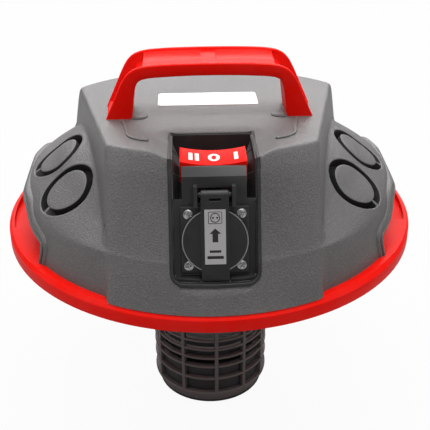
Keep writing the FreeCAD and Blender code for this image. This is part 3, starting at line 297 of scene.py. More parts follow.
class Palette:
    """Shader node groups shared by all finishes, and one material for each finish."""

    def __init__(self) -> None:
        """Build the shared groups once."""
        self.groups = {grain: self._grain_group(grain) for grain in Grain}
        self.marks = self._marks_group()
        self.materials: dict[str, bpy.types.Material] = {}

    @staticmethod
    def _sockets(group: bpy.types.NodeTree, inputs: dict[str, tuple[str, object]],
                 outputs: dict[str, str]) -> None:
        """Name a group's inputs, each with its kind and value, and its outputs."""
        for name, (kind, value) in inputs.items():
            socket = group.interface.new_socket(name, in_out="INPUT", socket_type=kind)
            socket.default_value = value
        for name, kind in outputs.items():
            group.interface.new_socket(name, in_out="OUTPUT", socket_type=kind)

    @staticmethod
    def _math(group: bpy.types.NodeTree, operation: str, first: object,
              second: object) -> bpy.types.NodeSocket:
        """Return the result of a Math node whose inputs are sockets or numbers."""
        node = group.nodes.new("ShaderNodeMath")
        node.operation = operation
        for socket, value in zip(node.inputs, (first, second)):
            if isinstance(value, bpy.types.NodeSocket):
                group.links.new(value, socket)
            else:
                socket.default_value = value
        return node.outputs[0]

    def _texture(self, group: bpy.types.NodeTree, kind: str, vector: object, scale: object,
                 **values: float) -> bpy.types.Node:
        """Return a texture node whose pattern is drawn at a vector and a scale."""
        node = group.nodes.new(kind)
        group.links.new(vector, node.inputs["Vector"])
        if isinstance(scale, bpy.types.NodeSocket):
            group.links.new(scale, node.inputs["Scale"])
        else:
            node.inputs["Scale"].default_value = scale
        for name, value in values.items():
            node.inputs[name].default_value = value
        return node

    def _grain_group(self, grain: Grain) -> bpy.types.NodeTree:
        """Return one kind of surface as a group: colour, roughness and height out of Object coordinates."""
        group = bpy.data.node_groups.new(f"grain_{grain.value}", "ShaderNodeTree")
        self._sockets(group, {
            "Colour": ("NodeSocketColor", (0.5, 0.5, 0.5, 1.0)), "Roughness": ("NodeSocketFloat", 0.4),
            "Mottle": ("NodeSocketFloat", 0.1), "Pitch": ("NodeSocketFloat", 1.0),
        }, {"Colour": "NodeSocketColor", "Roughness": "NodeSocketFloat", "Height": "NodeSocketFloat"})
        nodes, links = group.nodes, group.links
        given, result = nodes.new("NodeGroupInput"), nodes.new("NodeGroupOutput")
        place = nodes.new("ShaderNodeTexCoord").outputs["Object"]
        scale = self._math(group, "DIVIDE", 1000.0, given.outputs["Pitch"])
        if grain in (Grain.BRUSHED, Grain.WOUND):
            stretch = nodes.new("ShaderNodeMapping")
            links.new(place, stretch.inputs["Vector"])
            pull = (1.0, 1.0, 0.08) if grain is Grain.WOUND else (0.06, 1.0, 1.0)
            stretch.inputs["Scale"].default_value = pull
            place = stretch.outputs["Vector"]
        fine = self._texture(group, "ShaderNodeTexNoise", place, scale, Detail=3.0, Roughness=0.6)
        height = fine.outputs["Fac"]
        if grain in (Grain.ERODED, Grain.FOAM):
            cells = self._texture(group, "ShaderNodeTexVoronoi", place, scale, Randomness=1.0)
            cells.feature = "SMOOTH_F1" if grain is Grain.ERODED else "F1"
            height = self._math(group, "ADD", self._math(group, "MULTIPLY", cells.outputs["Distance"], 0.8),
                                self._math(group, "MULTIPLY", height, 0.7))
        broad = self._texture(group, "ShaderNodeTexNoise", place, 9.0, Detail=2.0, Roughness=0.5)
        patch = self._math(group, "ADD", self._math(group, "MULTIPLY", broad.outputs["Fac"], 0.5),
                           self._math(group, "MULTIPLY", height, 0.5))
        swing = self._math(group, "SUBTRACT", self._math(group, "MULTIPLY", patch, 2.0), 1.0)
        gain = self._math(group, "ADD", self._math(group, "MULTIPLY", swing, given.outputs["Mottle"]), 1.0)
        tint = nodes.new("ShaderNodeVectorMath")
        tint.operation = "SCALE"
        links.new(given.outputs["Colour"], tint.inputs[0])
        links.new(gain, tint.inputs["Scale"])
        links.new(tint.outputs["Vector"], result.inputs["Colour"])
        added = self._math(group, "MULTIPLY", swing, 0.10)
        links.new(self._math(group, "ADD", given.outputs["Roughness"], added), result.inputs["Roughness"])
        links.new(height, result.inputs["Height"])
        return group

    def _marks_group(self) -> bpy.types.NodeTree:
        """Return the group that adds faint handling marks and settled dust to a colour and a roughness."""
        group = bpy.data.node_groups.new("handling_marks", "ShaderNodeTree")
        self._sockets(group, {
            "Colour": ("NodeSocketColor", (0.5, 0.5, 0.5, 1.0)), "Roughness": ("NodeSocketFloat", 0.4),
            "Dust": ("NodeSocketFloat", 0.03),
        }, {"Colour": "NodeSocketColor", "Roughness": "NodeSocketFloat"})
        nodes, links = group.nodes, group.links
        given, result = nodes.new("NodeGroupInput"), nodes.new("NodeGroupOutput")
        place = nodes.new("ShaderNodeTexCoord").outputs["Object"]
        smear = self._texture(group, "ShaderNodeTexNoise", place, 38.0, Detail=4.0, Roughness=0.65,
                              Distortion=0.6)
        level = nodes.new("ShaderNodeMapRange")
        links.new(smear.outputs["Fac"], level.inputs["Value"])
        level.inputs["From Min"].default_value = 0.42
        level.inputs["From Max"].default_value = 0.72
        amount = self._math(group, "MULTIPLY", level.outputs["Result"], given.outputs["Dust"])
        mix = nodes.new("ShaderNodeMix")
        mix.data_type = "RGBA"
        links.new(amount, mix.inputs[0])
        links.new(given.outputs["Colour"], mix.inputs[6])
        mix.inputs[7].default_value = (0.42, 0.40, 0.38, 1.0)
        links.new(mix.outputs[2], result.inputs["Colour"])
        added = self._math(group, "MULTIPLY", amount, 1.6)
        links.new(self._math(group, "ADD", given.outputs["Roughness"], added), result.inputs["Roughness"])
        return group

    def material(self, name: str) -> bpy.types.Material:
        """Return the material of a finish, made the first time it is asked for."""
        if name not in self.materials:
            self.materials[name] = self._build(name, FINISHES[name])
        return self.materials[name]

    def _build(self, name: str, finish: Finish) -> bpy.types.Material:
        """Return a new material: a Principled shader fed by the grain group and the marks group."""
        material = bpy.data.materials.new(name)
        material.use_nodes = True
        material.diffuse_color = (*finish.colour, 1.0)
        nodes, links = material.node_tree.nodes, material.node_tree.links
        shader = nodes["Principled BSDF"]
        shader.inputs["Metallic"].default_value = finish.metallic
        shader.inputs["Coat Weight"].default_value = finish.coat
        shader.inputs["Specular IOR Level"].default_value = finish.specular
        grain, marks = nodes.new("ShaderNodeGroup"), nodes.new("ShaderNodeGroup")
        grain.node_tree, marks.node_tree = self.groups[finish.grain], self.marks
        grain.inputs["Colour"].default_value = (*finish.colour, 1.0)
        grain.inputs["Roughness"].default_value = finish.roughness
        grain.inputs["Mottle"].default_value = finish.mottle
        grain.inputs["Pitch"].default_value = finish.pitch
        links.new(grain.outputs["Colour"], marks.inputs["Colour"])
        links.new(grain.outputs["Roughness"], marks.inputs["Roughness"])
        marks.inputs["Dust"].default_value = 0.02
        links.new(marks.outputs["Colour"], shader.inputs["Base Color"])
        links.new(marks.outputs["Roughness"], shader.inputs["Roughness"])
        bump = nodes.new("ShaderNodeBump")
        bump.inputs["Strength"].default_value = 1.0
        bump.inputs["Distance"].default_value = finish.depth * MM
        links.new(grain.outputs["Height"], bump.inputs["Height"])
        links.new(bump.outputs["Normal"], shader.inputs["Normal"])
        return material

    def dress(self, piece: bpy.types.Object, finish: str, body: str = "root") -> None:
        """Give a new piece its material and the body that it rides on."""
        piece.data.materials.clear()
        piece.data.materials.append(self.material(finish))
        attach(piece, body)
        log.info("%s: %d faces, %s on %s", piece.name, len(piece.data.polygons), finish, body)


# ---------------------------------------------------------------- cover

@dataclass
class CoverForm:
    """Outer face of the cover as a field that is negative inside the plastic, lengths in millimetres.

    Heights are counted from the lid ring's lower edge. The field is the smooth union of a turned body, skirt
    and side lobes, with a tower: a cone between two flared walls under a top that slopes to the rear.
    """

    skirt_foot: tuple[float, float] = (163.0, 13.0)
    crease: tuple[float, float] = (157.0, 47.5)
    front_top: tuple[float, float] = (128.3, 121.0)
    half: float = 77.5
    flare: float = 0.193
    draft: float = 0.1
    slope: float = math.tan(math.radians(7.1))
    top_y: float = -127.0
    band_drop: float = 17.0
    band_lean: float = 0.16
    top_chamfer: float = 2.4
    dome: tuple[tuple[float, float], ...] = (
        (0, 0), (6, 4), (14, 9), (21.5, 13.7), (27.5, 17.8), (34.5, 23.3), (43.5, 29.3), (53.5, 34.5),
        (67, 39.5), (90, 45), (157, 50))
    bay_x: float = 136.0
    arch: tuple[tuple[float, float], ...] = (
        (0.0, 44.0), (52.0, 44.0), (57.0, 43.3), (62.0, 41.0), (68.0, 36.0), (75.0, 33.0), (84.0, 31.2),
        (92.0, 30.0))
    pocket_half: float = 31.5
    pocket_foot: float = 33.5
    pocket_back: float = 70.0
    pocket_corner: float = 8.0
    side_flat: float = 152.5
    vent_r: float = 25.0
    vent_floor: float = 11.0
    vents: tuple[tuple[float, float, float], ...] = ((30.3, 131.5, 63.8), (4.3, 126.6, 67.4))
    vent_tilt: float = 56.0

    def __post_init__(self) -> None:
        """Work out the cone's lean and a fine table of the dome's radius by height."""
        self.lean = (self.crease[0] - self.front_top[0]) / (self.front_top[1] - self.crease[1])
        knots = np.array([(self.crease[0] - drop, self.crease[1] + rise) for drop, rise in self.dome])
        line = smooth_path(knots, 400)
        self.dome_line = line[np.argsort(line[:, 1])]

    def top(self, y: Array) -> Array:
        """Return the height of the sloping top at a place y."""
        return self.front_top[1] - self.slope * (y - self.top_y)

    def wall_half(self, y: Array, z: Array) -> Array:
        """Return the tower's half width: half + flare * (y + 105) - draft * (z - 120)."""
        return self.half + self.flare * (y + 105.0) - self.draft * (z - 120.0)

    def arch_line(self, y: Array) -> Array:
        """Return the height of the latch bay's arch at a place y."""
        table = np.array(self.arch)
        return np.where(np.abs(y) < table[-1, 0], np.interp(np.abs(y), table[:, 0], table[:, 1]), -20.0)

    def lobes(self, x: Array, y: Array, z: Array, r: Array) -> Array:
        """Return the field of the turned skirt and dome; their crease fades towards the sides."""
        (r0, z0), (r1, z1) = self.skirt_foot, self.crease
        fall = (r0 - r1) / (z1 - z0)
        skirt = (r - (r0 - fall * (z - z0))) / math.hypot(1.0, fall)
        radius = np.interp(z, self.dome_line[:, 1], self.dome_line[:, 0])
        radius = np.where(z < z1, r1 + 1.5 * (z1 - z), radius)
        steep = np.interp(z, [z1, z1 + 20, z1 + 40, z1 + 46], [1.8, 1.6, 2.6, 5.0])
        dome = (r - radius) / steep + np.maximum(z - self.dome_line[-1, 1] + 2.0, 0.0)
        side = ease((np.abs(x) - 80.0) / 60.0)
        return soft_max(skirt, dome, 0.7 + 3.5 * side)

    def tower(self, x: Array, y: Array, z: Array, r: Array) -> Array:
        """Return the field of the tower: the largest of cone, upper band, walls, top and chamfer."""
        cone = (r - (self.crease[0] - self.lean * (z - self.crease[1]))) / math.hypot(1.0, self.lean)
        top = (z - self.top(y)) / math.hypot(1.0, self.slope)
        wall = (np.abs(x) - self.wall_half(y, z)) / math.hypot(1.0, self.flare, self.draft)
        above = z - (self.top(y) - self.band_drop)
        band = cone + self.band_lean * above - 0.4
        face = soft_max(cone, band, 0.6)
        body = soft_max(face, wall, 1.6)
        chamfer = (wall + top) * math.sqrt(0.5) + self.top_chamfer * math.sqrt(0.5)
        return soft_max(soft_max(body, top, 2.0), chamfer, 0.8)

    def pocket(self, x: Array, y: Array, z: Array) -> Array:
        """Return the field of the room for the switch and socket module; its lower corners are round."""
        side = np.abs(x) - (self.pocket_half - self.pocket_corner)
        foot = self.pocket_foot + self.pocket_corner - z
        beyond = np.hypot(np.maximum(side, 0), np.maximum(foot, 0))
        outline = beyond + np.minimum(np.maximum(side, foot), 0) - self.pocket_corner
        return np.maximum(outline, y + self.pocket_back)

    def vent_places(self) -> list[tuple[Array, Array, str]]:
        """Return each vent's centre on the face, its outward direction and its name."""
        tilt, places = math.radians(self.vent_tilt), []
        for level, (turn, radius, rise) in zip(("low", "high"), self.vents):
            for side, name in ((1.0, "right"), (-1.0, "left")):
                c, s = math.cos(math.radians(turn)), -math.sin(math.radians(turn))
                out = np.array([side * c * math.cos(tilt), s * math.cos(tilt), math.sin(tilt)])
                places.append((np.array([side * radius * c, radius * s, rise]), out, f"{level}_{name}"))
        return places

    def vent_rooms(self, p: Array) -> Array:
        """Return the field of the round sinks under the vents: within a vent's radius and above its floor."""
        value = np.full(p.shape[:-1], 1e3)
        for centre, out, _ in self.vent_places():
            offset = p - centre
            high = offset @ out
            off_axis = np.sqrt(np.maximum((offset ** 2).sum(-1) - high ** 2, 0.0))
            value = np.minimum(value, np.maximum(off_axis - self.vent_r + 0.2, -self.vent_floor - high))
        return value

    def bevel_floor(self, x: Array, y: Array) -> Array:
        """Return the height of the sloping surround of the pocket's head; it climbs away from the pocket."""
        out = np.hypot(np.maximum(np.abs(x) - 24.0, 0.0), np.maximum(y + 84.0, 0.0))
        return self.top(y) - 4.5 + 0.35 * np.maximum(out - 8.0, -2.0)

    def field(self, p: Array, trimmed: bool = True) -> Array:
        """Return the field at points.

        Args:
            p: points (..., 3), z as height above the lid ring's lower edge.
            trimmed: whether the pocket and the latch bays are taken away.

        Returns:
            Field values, negative inside.
        """
        x, y, z = p[..., 0], p[..., 1], p[..., 2]
        r = np.hypot(x, y)
        value = soft_min(self.lobes(x, y, z, r), self.tower(x, y, z, r), 1.5)
        value = soft_max(value, np.abs(x) - self.side_flat, 1.0)
        value = np.where(y < -40, soft_max(value, (z - self.bevel_floor(x, y)) / 1.15, 0.5), value)
        if trimmed:
            value = np.maximum(value, -self.pocket(x, y, z))
            bay = np.maximum(self.bay_x - np.abs(x), z - self.arch_line(y))
            value = np.maximum(np.maximum(value, -bay), -self.vent_rooms(p))
        return value

    def along(self, start: Array, ray: Array, near: float, far: float, steps: int,
              trimmed: bool = True) -> Array:
        """Return how far along each ray the outermost crossing of the surface lies.

        The rays are walked inwards in even steps to the first point inside, which is then closed in on by
        halving.
        """
        marks = np.linspace(far, near, steps)
        hit = np.full(ray.shape[:-1], near)
        found = np.zeros(ray.shape[:-1], bool)
        for mark in marks:
            inside = self.field(start + mark * ray, trimmed) < 0
            hit = np.where(inside & ~found, mark, hit)
            found |= inside
        low, high = hit, hit + (far - near) / (steps - 1)
        for _ in range(14):
            mid = 0.5 * (low + high)
            inside = self.field(start + mid[..., None] * ray, trimmed) < 0
            low, high = np.where(inside, mid, low), np.where(inside, high, mid)
        return 0.5 * (low + high)

    def foot_point(self, point: Array, out: Array) -> Array:
        """Return points moved along a direction onto the untrimmed face."""
        back = 30.0
        ray = np.broadcast_to(out, point.shape)
        reach = self.along(point - back * out, ray, 0.0, 2 * back, 61, trimmed=False)
        return point + (reach - back)[..., None] * out


@dataclass
class Cover:
    """Cover shell, its vents, the lips of its wheel arches and the trim of its pocket."""

    form: CoverForm
    centre_z: float = 20.0
    columns: tuple[int, ...] = (16, 1, 34, 110, 60)
    rows: tuple[int, ...] = (5, 7, 7, 30, 34, 40, 16)
    cap_r: float = 19.0
    vent_depth: float = 9.0

    def _turns(self) -> tuple[Array, Array, Array]:
        """Return each column's turn from the front at the crease, at the top's edge and at the inner ring."""
        form = self.form

        def corner(top: bool, rear: bool) -> float:
            """Return one corner's turn by scanning for the place where the wall's side changes."""
            ends = (math.pi / 2, math.pi - 0.05) if rear else (0.5, math.pi / 2)
            turn = np.linspace(*ends, 4000)
            rise = np.full_like(turn, form.crease[1])
            for _ in range(12):
                radius = form.crease[0] - form.lean * (rise - form.crease[1])
                x, y = radius * np.sin(turn), -radius * np.cos(turn)
                rise = form.top(y) if top else rise
            gap = x - form.wall_half(y, rise)
            cross = np.nonzero(np.diff(np.sign(gap)))[0]
            return float(turn[cross[0]]) if len(cross) else float(turn[np.argmin(np.abs(gap))])

        edge_low = math.asin(form.pocket_half / form.crease[0])
        edge_top = math.asin(form.pocket_half / (form.front_top[0] + 0.5))
        edge_mid = math.atan2(form.pocket_half, form.pocket_back)
        slip = 0.0015
        rings = []
        for edge, front, rear in ((edge_low, corner(False, False), corner(False, True)),
                                  (edge_top, corner(True, False), corner(True, True)),
                                  (edge_mid, corner(True, False), corner(True, True))):
            anchors = [0.0, edge - slip, edge, front, rear, math.pi]
            half = [np.linspace(first, last, count, endpoint=False)
                    for first, last, count in zip(anchors, anchors[1:], self.columns)]
            half = np.concatenate(half + [[math.pi]])
            rings.append(np.concatenate([half, 2 * math.pi - half[-2:0:-1]]))
        return tuple(rings)

    def _skirt_tilt(self, rise: Array) -> Array:
        """Return the elevation, seen from the rays' start, of heights on the skirt."""
        (r0, z0), (r1, z1) = self.form.skirt_foot, self.form.crease
        return np.arctan2(rise - self.centre_z, r0 - (r0 - r1) / (z1 - z0) * (rise - z0))

    def _edge_tilts(self, turn: Array) -> tuple[Array, Array]:
        """Return each column's elevation at the walls' foot and at the top's edge, found along rays."""
        form = self.form
        tilt = np.linspace(0.12, 1.2, 500)[:, None]
        ray = np.stack([np.cos(tilt) * np.sin(turn), -np.cos(tilt) * np.cos(turn), np.sin(tilt) + 0 * turn], -1)
        tower_out, lobe_out, over_top = (np.zeros(ray.shape[:2]) for _ in range(3))
        for reach in np.linspace(60, 175, 60):
            x, y, z = np.moveaxis(np.array([0.0, 0.0, self.centre_z]) + reach * ray, -1, 0)
            r = np.hypot(x, y)
            tower_out = np.where(form.tower(x, y, z, r) < 0, reach, tower_out)
            lobe_out = np.where(form.lobes(x, y, z, r) < 0, reach, lobe_out)
            over_top = np.where((z > form.top(y)) & (over_top == 0), reach, over_top)
        top_first = (over_top > 0) & (over_top <= tower_out + 4.0)
        return tilt[np.argmax(tower_out >= lobe_out, axis=0), 0], tilt[np.argmax(top_first, axis=0), 0]

    def _key_levels(self, low: Array, top: Array, mid: Array) -> tuple[list[Array], list[Array]]:
        """Return the turns and elevations of the eight rings that the rows of the shell run between."""
        form = self.form
        arch_end, bay_foot = form.arch[-1][0] - 0.1, 21.0
        side = ease((np.abs(np.sin(low)) - 0.55) / 0.25)
        y_low = -160.0 * np.cos(low)
        foot = form.pocket_foot * (1 - side) + bay_foot * side
        arch = form.arch_line(np.clip(y_low, -arch_end, arch_end))
        arch = np.where(np.abs(y_low) < arch_end, arch, 30 + 10.0 * ease((np.abs(y_low) - arch_end) / 20.0))
        levels = (np.full_like(low, form.skirt_foot[1]), foot, arch, np.full_like(low, form.crease[1]))
        tilts = [self._skirt_tilt(level) for level in levels]
        wall_foot, top_edge = self._edge_tilts(top)
        swing = np.abs(np.arctan2(np.sin(low), np.cos(low)))
        front_edge, rear_edge = low[sum(self.columns[:3])], low[sum(self.columns[:4])]
        beside = (swing >= front_edge) & (swing <= rear_edge)
        near = np.minimum(np.abs(swing - front_edge), np.abs(swing - rear_edge))
        share = 0.06 + 0.34 * ease(near / 0.5)
        span = top_edge - tilts[3]
        wall_foot = np.where(beside, np.clip(wall_foot, tilts[3] + 0.06 * span, top_edge - 0.1 * span),
                             tilts[3] + share * span)
        behind = np.abs(np.tan(mid)) < form.pocket_half / form.pocket_back
        ring_r = np.where(behind, form.pocket_back / np.maximum(np.abs(np.cos(mid)), 0.5),
                          math.hypot(form.pocket_half, form.pocket_back))
        inner_ring = np.arctan2(form.top(-ring_r * np.cos(mid)) - self.centre_z, ring_r)
        tilts += [wall_foot, top_edge, inner_ring, np.full_like(low, math.pi / 2 - 0.004)]
        return [low, low, low, low, 0.5 * (low + top), top, mid, mid], tilts

    def shell(self) -> bpy.types.Object:
        """Return the shell: for each turn and elevation, a ray's outermost crossing with the cover's field.

        Rows run between rings that follow the pocket's foot, the arch, the crease, the walls' foot and the
        top's edge, so that each edge lies on a line of the grid.
        """
        low, top, mid = self._turns()
        turns, tilts = self._key_levels(low, top, mid)
        rows_turn, rows_tilt = [], []
        for k, count in enumerate(self.rows):
            even = np.arange(count) / count
            steps = (0.5 - 0.5 * np.cos(math.pi * np.arange(count) / count)) if count > 6 else even
            steps = 0.5 * steps + 0.5 * even
            rows_turn += [turns[k] + step * (turns[k + 1] - turns[k]) for step in steps]
            rows_tilt += [tilts[k] + step * (tilts[k + 1] - tilts[k]) for step in steps]
        turn, tilt = np.array([*rows_turn, turns[-1]]), np.array([*rows_tilt, tilts[-1]])
        ray = np.stack([np.cos(tilt) * np.sin(turn), -np.cos(tilt) * np.cos(turn), np.sin(tilt)], -1)
        start = np.array([0.0, 0.0, self.centre_z])
        reach = self.form.along(start, ray, 50.0, 178.0, 86)
        points = start + reach[..., None] * ray
        points[0, :, 2] = self.form.skirt_foot[1]
        inner = points[0] * [0.975, 0.975, 1.0]
        flat, quads, fan = with_hub(np.concatenate([inner[None], points]))
        sunk = self.form.vent_rooms(flat) < 0.1
        quads = quads[~sunk[quads].any(axis=1)]
        flat[:, 2] += RIM
        piece = mesh_piece("cover_shell", flat, quads.tolist() + fan.tolist(), crease=34.0)
        drop_loose_points(piece)
        return piece

    def vent(self, centre: Array, out: Array, name: str) -> tuple[bpy.types.Object, Array]:
        """Build one vent: rings around its axis, each at a radius and a depth below the cover's face.

        The rim lies flush, the slot falls between two rounded edges, and the disc in the middle follows the
        face. Where the slot turns downhill a bridge joins disc and cover.

        Returns:
            The piece, and for each of its faces 1 in the dark slot or 0 elsewhere.
        """
        r, gap, deep = self.form.vent_r, self.cap_r, self.vent_depth
        profile = np.array([
            (r + 4.6, -0.8), (r + 4.2, -0.04), (r + 2.4, 0.08), (r + 1.0, 0.18), (r + 0.4, 0.10), (r, -0.30),
            (r - 0.2, -0.9), (r - 0.4, -deep), (0.5 * (r + gap), -deep - 0.2), (gap + 0.3, -deep),
            (gap + 0.2, -0.9), (gap, -0.30), (gap - 0.4, 0.0), (gap - 1.0, 0.1), (gap - 3.0, 0.1),
            (0.6 * gap, 0.12), (0.35 * gap, 0.12), (0.12 * gap, 0.12)])
        slot_rings = (5, 10)
        turn = full_turn(96)
        down = unit(np.array([0.0, 0.0, -1.0]) + out * out[2])
        side = np.cross(out, down)
        spoke = np.cos(turn)[:, None] * down + np.sin(turn)[:, None] * side
        at = centre + profile[:, None, :1] * spoke[None]
        face = self.form.foot_point(at, out)
        swing = np.abs(np.arctan2(np.sin(turn), np.cos(turn)))
        bridge = 1.0 - ease((swing - 0.07) / 0.06)
        depth = np.broadcast_to(profile[:, 1:], (len(profile), len(turn)))
        slot = (depth < -0.3) & (np.arange(len(profile)) > 1)[:, None]
        depth = np.where(slot, depth * (1 - bridge) - 0.7 * bridge, depth)
        flat, quads, fan = with_hub(face + depth[..., None] * out)
        flat[:, 2] += RIM
        piece = mesh_piece(f"vent_{name}", flat, quads.tolist() + fan.tolist(), crease=50.0)
        ring = np.repeat(np.arange(len(profile) - 1), len(turn))
        # faces down in the slot take the near-black finish, painted shade for the slot's depth
        shaded_slot = (ring >= slot_rings[0]) & (ring <= slot_rings[1]) & ~np.tile(bridge > 0.3, len(profile) - 1)
        return piece, np.concatenate([shaded_slot, np.zeros(len(turn), bool)]).astype(np.int32)

    def arch_lip(self, side: float) -> bpy.types.Object:
        """Return the double lip round one wheel arch: a stepped profile carried along the arch's edge."""
        foot_z = 12.6
        half = [(-92.0, foot_z), (-92.0, 20.0), (-92.0, 26.5), (-91.0, 29.3), (-88.0, 31.2), (-82.0, 32.9),
                (-76.0, 34.4), (-70.0, 36.6), (-64.0, 39.6), (-58.0, 42.2), (-52.0, 43.8), (-45.0, 44.3),
                (-30.0, 44.4), (-12.0, 44.4)]
        knots = np.array(half + [(-y, z) for y, z in reversed(half)])
        line = smooth_path(knots, 150)
        flat = np.stack([np.full(len(line), 142.0), line[:, 0], line[:, 1]], -1)
        path = self.form.foot_point(flat, np.array([1.0, 0.0, 0.0]))
        out = unit(path * [1.0, 1.0, 0.0] + [0.0, 0.0, 18.0])
        along = unit(np.gradient(path, axis=0))
        across = unit(np.cross(out, along))
        profile = np.array([(1.6, -4.0), (1.6, 1.9), (1.2, 2.5), (-0.4, 2.6), (-0.9, 2.1), (-1.1, 0.9),
                            (-1.9, 0.8), (-2.2, 1.5), (-2.7, 1.9), (-3.5, 1.7), (-4.8, 0.7), (-6.2, -0.5),
                            (-6.2, -4.0)])
        points, quads = swept(path, -across, out, profile)
        points[:, 2] = np.maximum(points[:, 2], foot_z) + RIM
        points[:, 0] *= side
        faces = clean_faces(quads)
        if side > 0:
            faces = [face[::-1] for face in faces]
        return mesh_piece(f"arch_lip_{'right' if side > 0 else 'left'}", points, faces, crease=50.0)

    def pocket_frame(self) -> bpy.types.Object:
        """Return the black trim round the module: a rounded bar carried along the pocket's whole edge."""
        form, head, corner_end = self.form, 110.5, 5.0
        half, foot, bend = form.pocket_half + 0.1, form.pocket_foot - 0.1, form.pocket_corner
        down = [(-half, z) for z in np.linspace(head, foot + bend, 34)]
        turn = np.linspace(0, math.pi / 2, 9)[1:]
        curve = [(-half + bend - bend * math.cos(a), foot + bend - bend * math.sin(a)) for a in turn]
        line = np.array(down + curve + [(-half + bend + corner_end, foot), (0.0, foot)])
        line = np.concatenate([line, (line * [-1.0, 1.0])[-2::-1]])
        start = np.stack([line[:, 0], np.full(len(line), -140.0), line[:, 1]], -1)
        path = form.foot_point(start, np.array([0.0, -1.0, 0.0]))
        out = unit(path * [0.2, 1.0, 0.0] + [0.0, 0.0, 45.0])
        across_back = [(x, -form.pocket_back, 0.0) for x in np.linspace(0.0, -half, 8)[:-1]]
        up_side = [(-half, y, 0.0) for y in np.linspace(-form.pocket_back, path[0, 1] + 2.0, 10)]
        edge = np.array(across_back + up_side)
        edge[:, 2] = form.bevel_floor(edge[:, 0], edge[:, 1])
        path = np.concatenate([edge, path, (edge * [-1.0, 1.0, 1.0])[::-1]])
        rise = np.tile([0.0, -0.1, 1.0], (len(edge), 1))
        out = unit(np.concatenate([rise, out, rise]))
        along = unit(np.gradient(path, axis=0))
        bar = rounded_bar(2.6, 5.0, 0.5, 3) + [0.0, -2.0]
        points, quads = swept(path, unit(np.cross(along, out)), out, bar)
        points[:, 2] += RIM
        return mesh_piece("pocket_frame", points, clean_faces(quads), crease=50.0)

    def build(self, palette: Palette) -> None:
        """Make and dress the shell, its vents, the lips of the wheel arches and the pocket's trim."""
        shell = self.shell()
        palette.dress(shell, "cover_plastic")
        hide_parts("cover")
        for centre, out, name in self.form.vent_places():
            vent, kinds = self.vent(centre, out, name)
            palette.dress(vent, "cover_plastic")
            # second material: near-black painted shade in the slot
            vent.data.materials.append(palette.material("vent_slot_shade"))
            vent.data.polygons.foreach_set("material_index", kinds)
            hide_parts(f"vent_cap_{name}")
        for side in (-1.0, 1.0):
            palette.dress(self.arch_lip(side), "cover_plastic")
        palette.dress(self.pocket_frame(), "module_plastic")


# ---------------------------------------------------------------- moulded and printed details

def softened(node: str, name: str, width: float, finish: str, palette: Palette, body: str = "root") -> bpy.types.Object:
    """Return a piece that stands for a CAD node with its corners rounded.

    Args:
        node: name of the CAD node whose shape is copied.
        name: name of the piece.
        width: width of the rounding.
        finish: name of its finish.
        palette: the materials.
        body: body that it rides on.

    Returns:
        The dressed piece.
    """
    mesh = frame["nodes"][node].data.copy()
    mesh.name = name
    form = bmesh.new()
    form.from_mesh(mesh)
    bmesh.ops.remove_doubles(form, verts=form.verts, dist=2e-6)
    bmesh.ops.dissolve_limit(form, angle_limit=math.radians(0.6), verts=form.verts, edges=form.edges)
    form.to_mesh(mesh)
    form.free()
    mesh.shade_smooth()
    piece = bpy.data.objects.new(name, mesh)
    bpy.context.scene.collection.objects.link(piece)
    bevel = piece.modifiers.new("rounding", "BEVEL")
    bevel.width, bevel.segments, bevel.limit_method = width * MM, 3, "ANGLE"
    bevel.angle_limit = math.radians(32)
    bevel.harden_normals = True
    bevel.use_clamp_overlap = True
    palette.dress(piece, finish, body)
    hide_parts(node)
    return piece


def disc_outline(x: float, y: float, rx: float, ry: float, count: int = 40) -> Array:
    """Return an oval's outline: centre plus the two radii times cosine and sine."""
    turn = full_turn(count)
    return np.stack([x + rx * np.cos(turn), y + ry * np.sin(turn)], -1)


def box_outline(x: float, y: float, width: float, height: float, radius: float = 0.3) -> Array:
    """Return a rounded rectangle's outline about a centre."""
    return rounded_bar(width, height, radius, 4) + [x, y]


@dataclass
class PrintedMarks:
    """Flat marks that stand a hair above a surface.

    place carries an outline's two coordinates and a rise to a point; each mark is an outline, or a band
    between two outlines of the same count.
    """

    name: str
    place: Callable[[Array, float], Array]
    rise: float = 0.14
    depth: float = 0.25

    def build(self, solid: Sequence[Array], bands: Sequence[tuple[Array, Array]] = ()) -> bpy.types.Object:
        """Return one mesh of all the marks: a top, a foot and a wall round each outline."""
        points, faces, total = [], [], 0
        for outline in solid:
            count = len(outline)
            points += [self.place(outline, self.rise), self.place(outline, -self.depth)]
            top, foot = np.arange(count) + total, np.arange(count) + total + count
            faces += [top.tolist(), foot[::-1].tolist()]
            faces += np.stack([top, foot, np.roll(foot, -1), np.roll(top, -1)], -1).tolist()
            total += 2 * count
        for outer, inner in bands:
            points += [self.place(outer, self.rise), self.place(inner, self.rise),
                       self.place(inner, -self.depth), self.place(outer, -self.depth)]
            quads = grid_faces(4, len(outer), wrap_rows=True, wrap_cols=True) + total
            faces += quads[:, ::-1].tolist()
            total += 4 * len(outer)
        piece = mesh_piece(self.name, np.concatenate(points), faces, crease=20.0)
        turn_out(piece)
        return piece


def lower_tub(tub: bpy.types.Object, form: CoverForm) -> None:
    """Bring the walls of the module's tub down to the sloping surround of the pocket."""
    wall_x, wall_y, below = 28.9, -72.6, 0.5
    points = np.empty(3 * len(tub.data.vertices))
    tub.data.vertices.foreach_get("co", points)
    points = points.reshape(-1, 3) / MM
    wall = (np.abs(points[:, 0]) > wall_x) | (points[:, 1] > wall_y)
    limit = form.bevel_floor(points[:, 0], points[:, 1]) + RIM - below
    points[:, 2] = np.where(wall, np.minimum(points[:, 2], limit), points[:, 2])
    tub.data.vertices.foreach_set("co", (points * MM).ravel())
    tub.data.update()


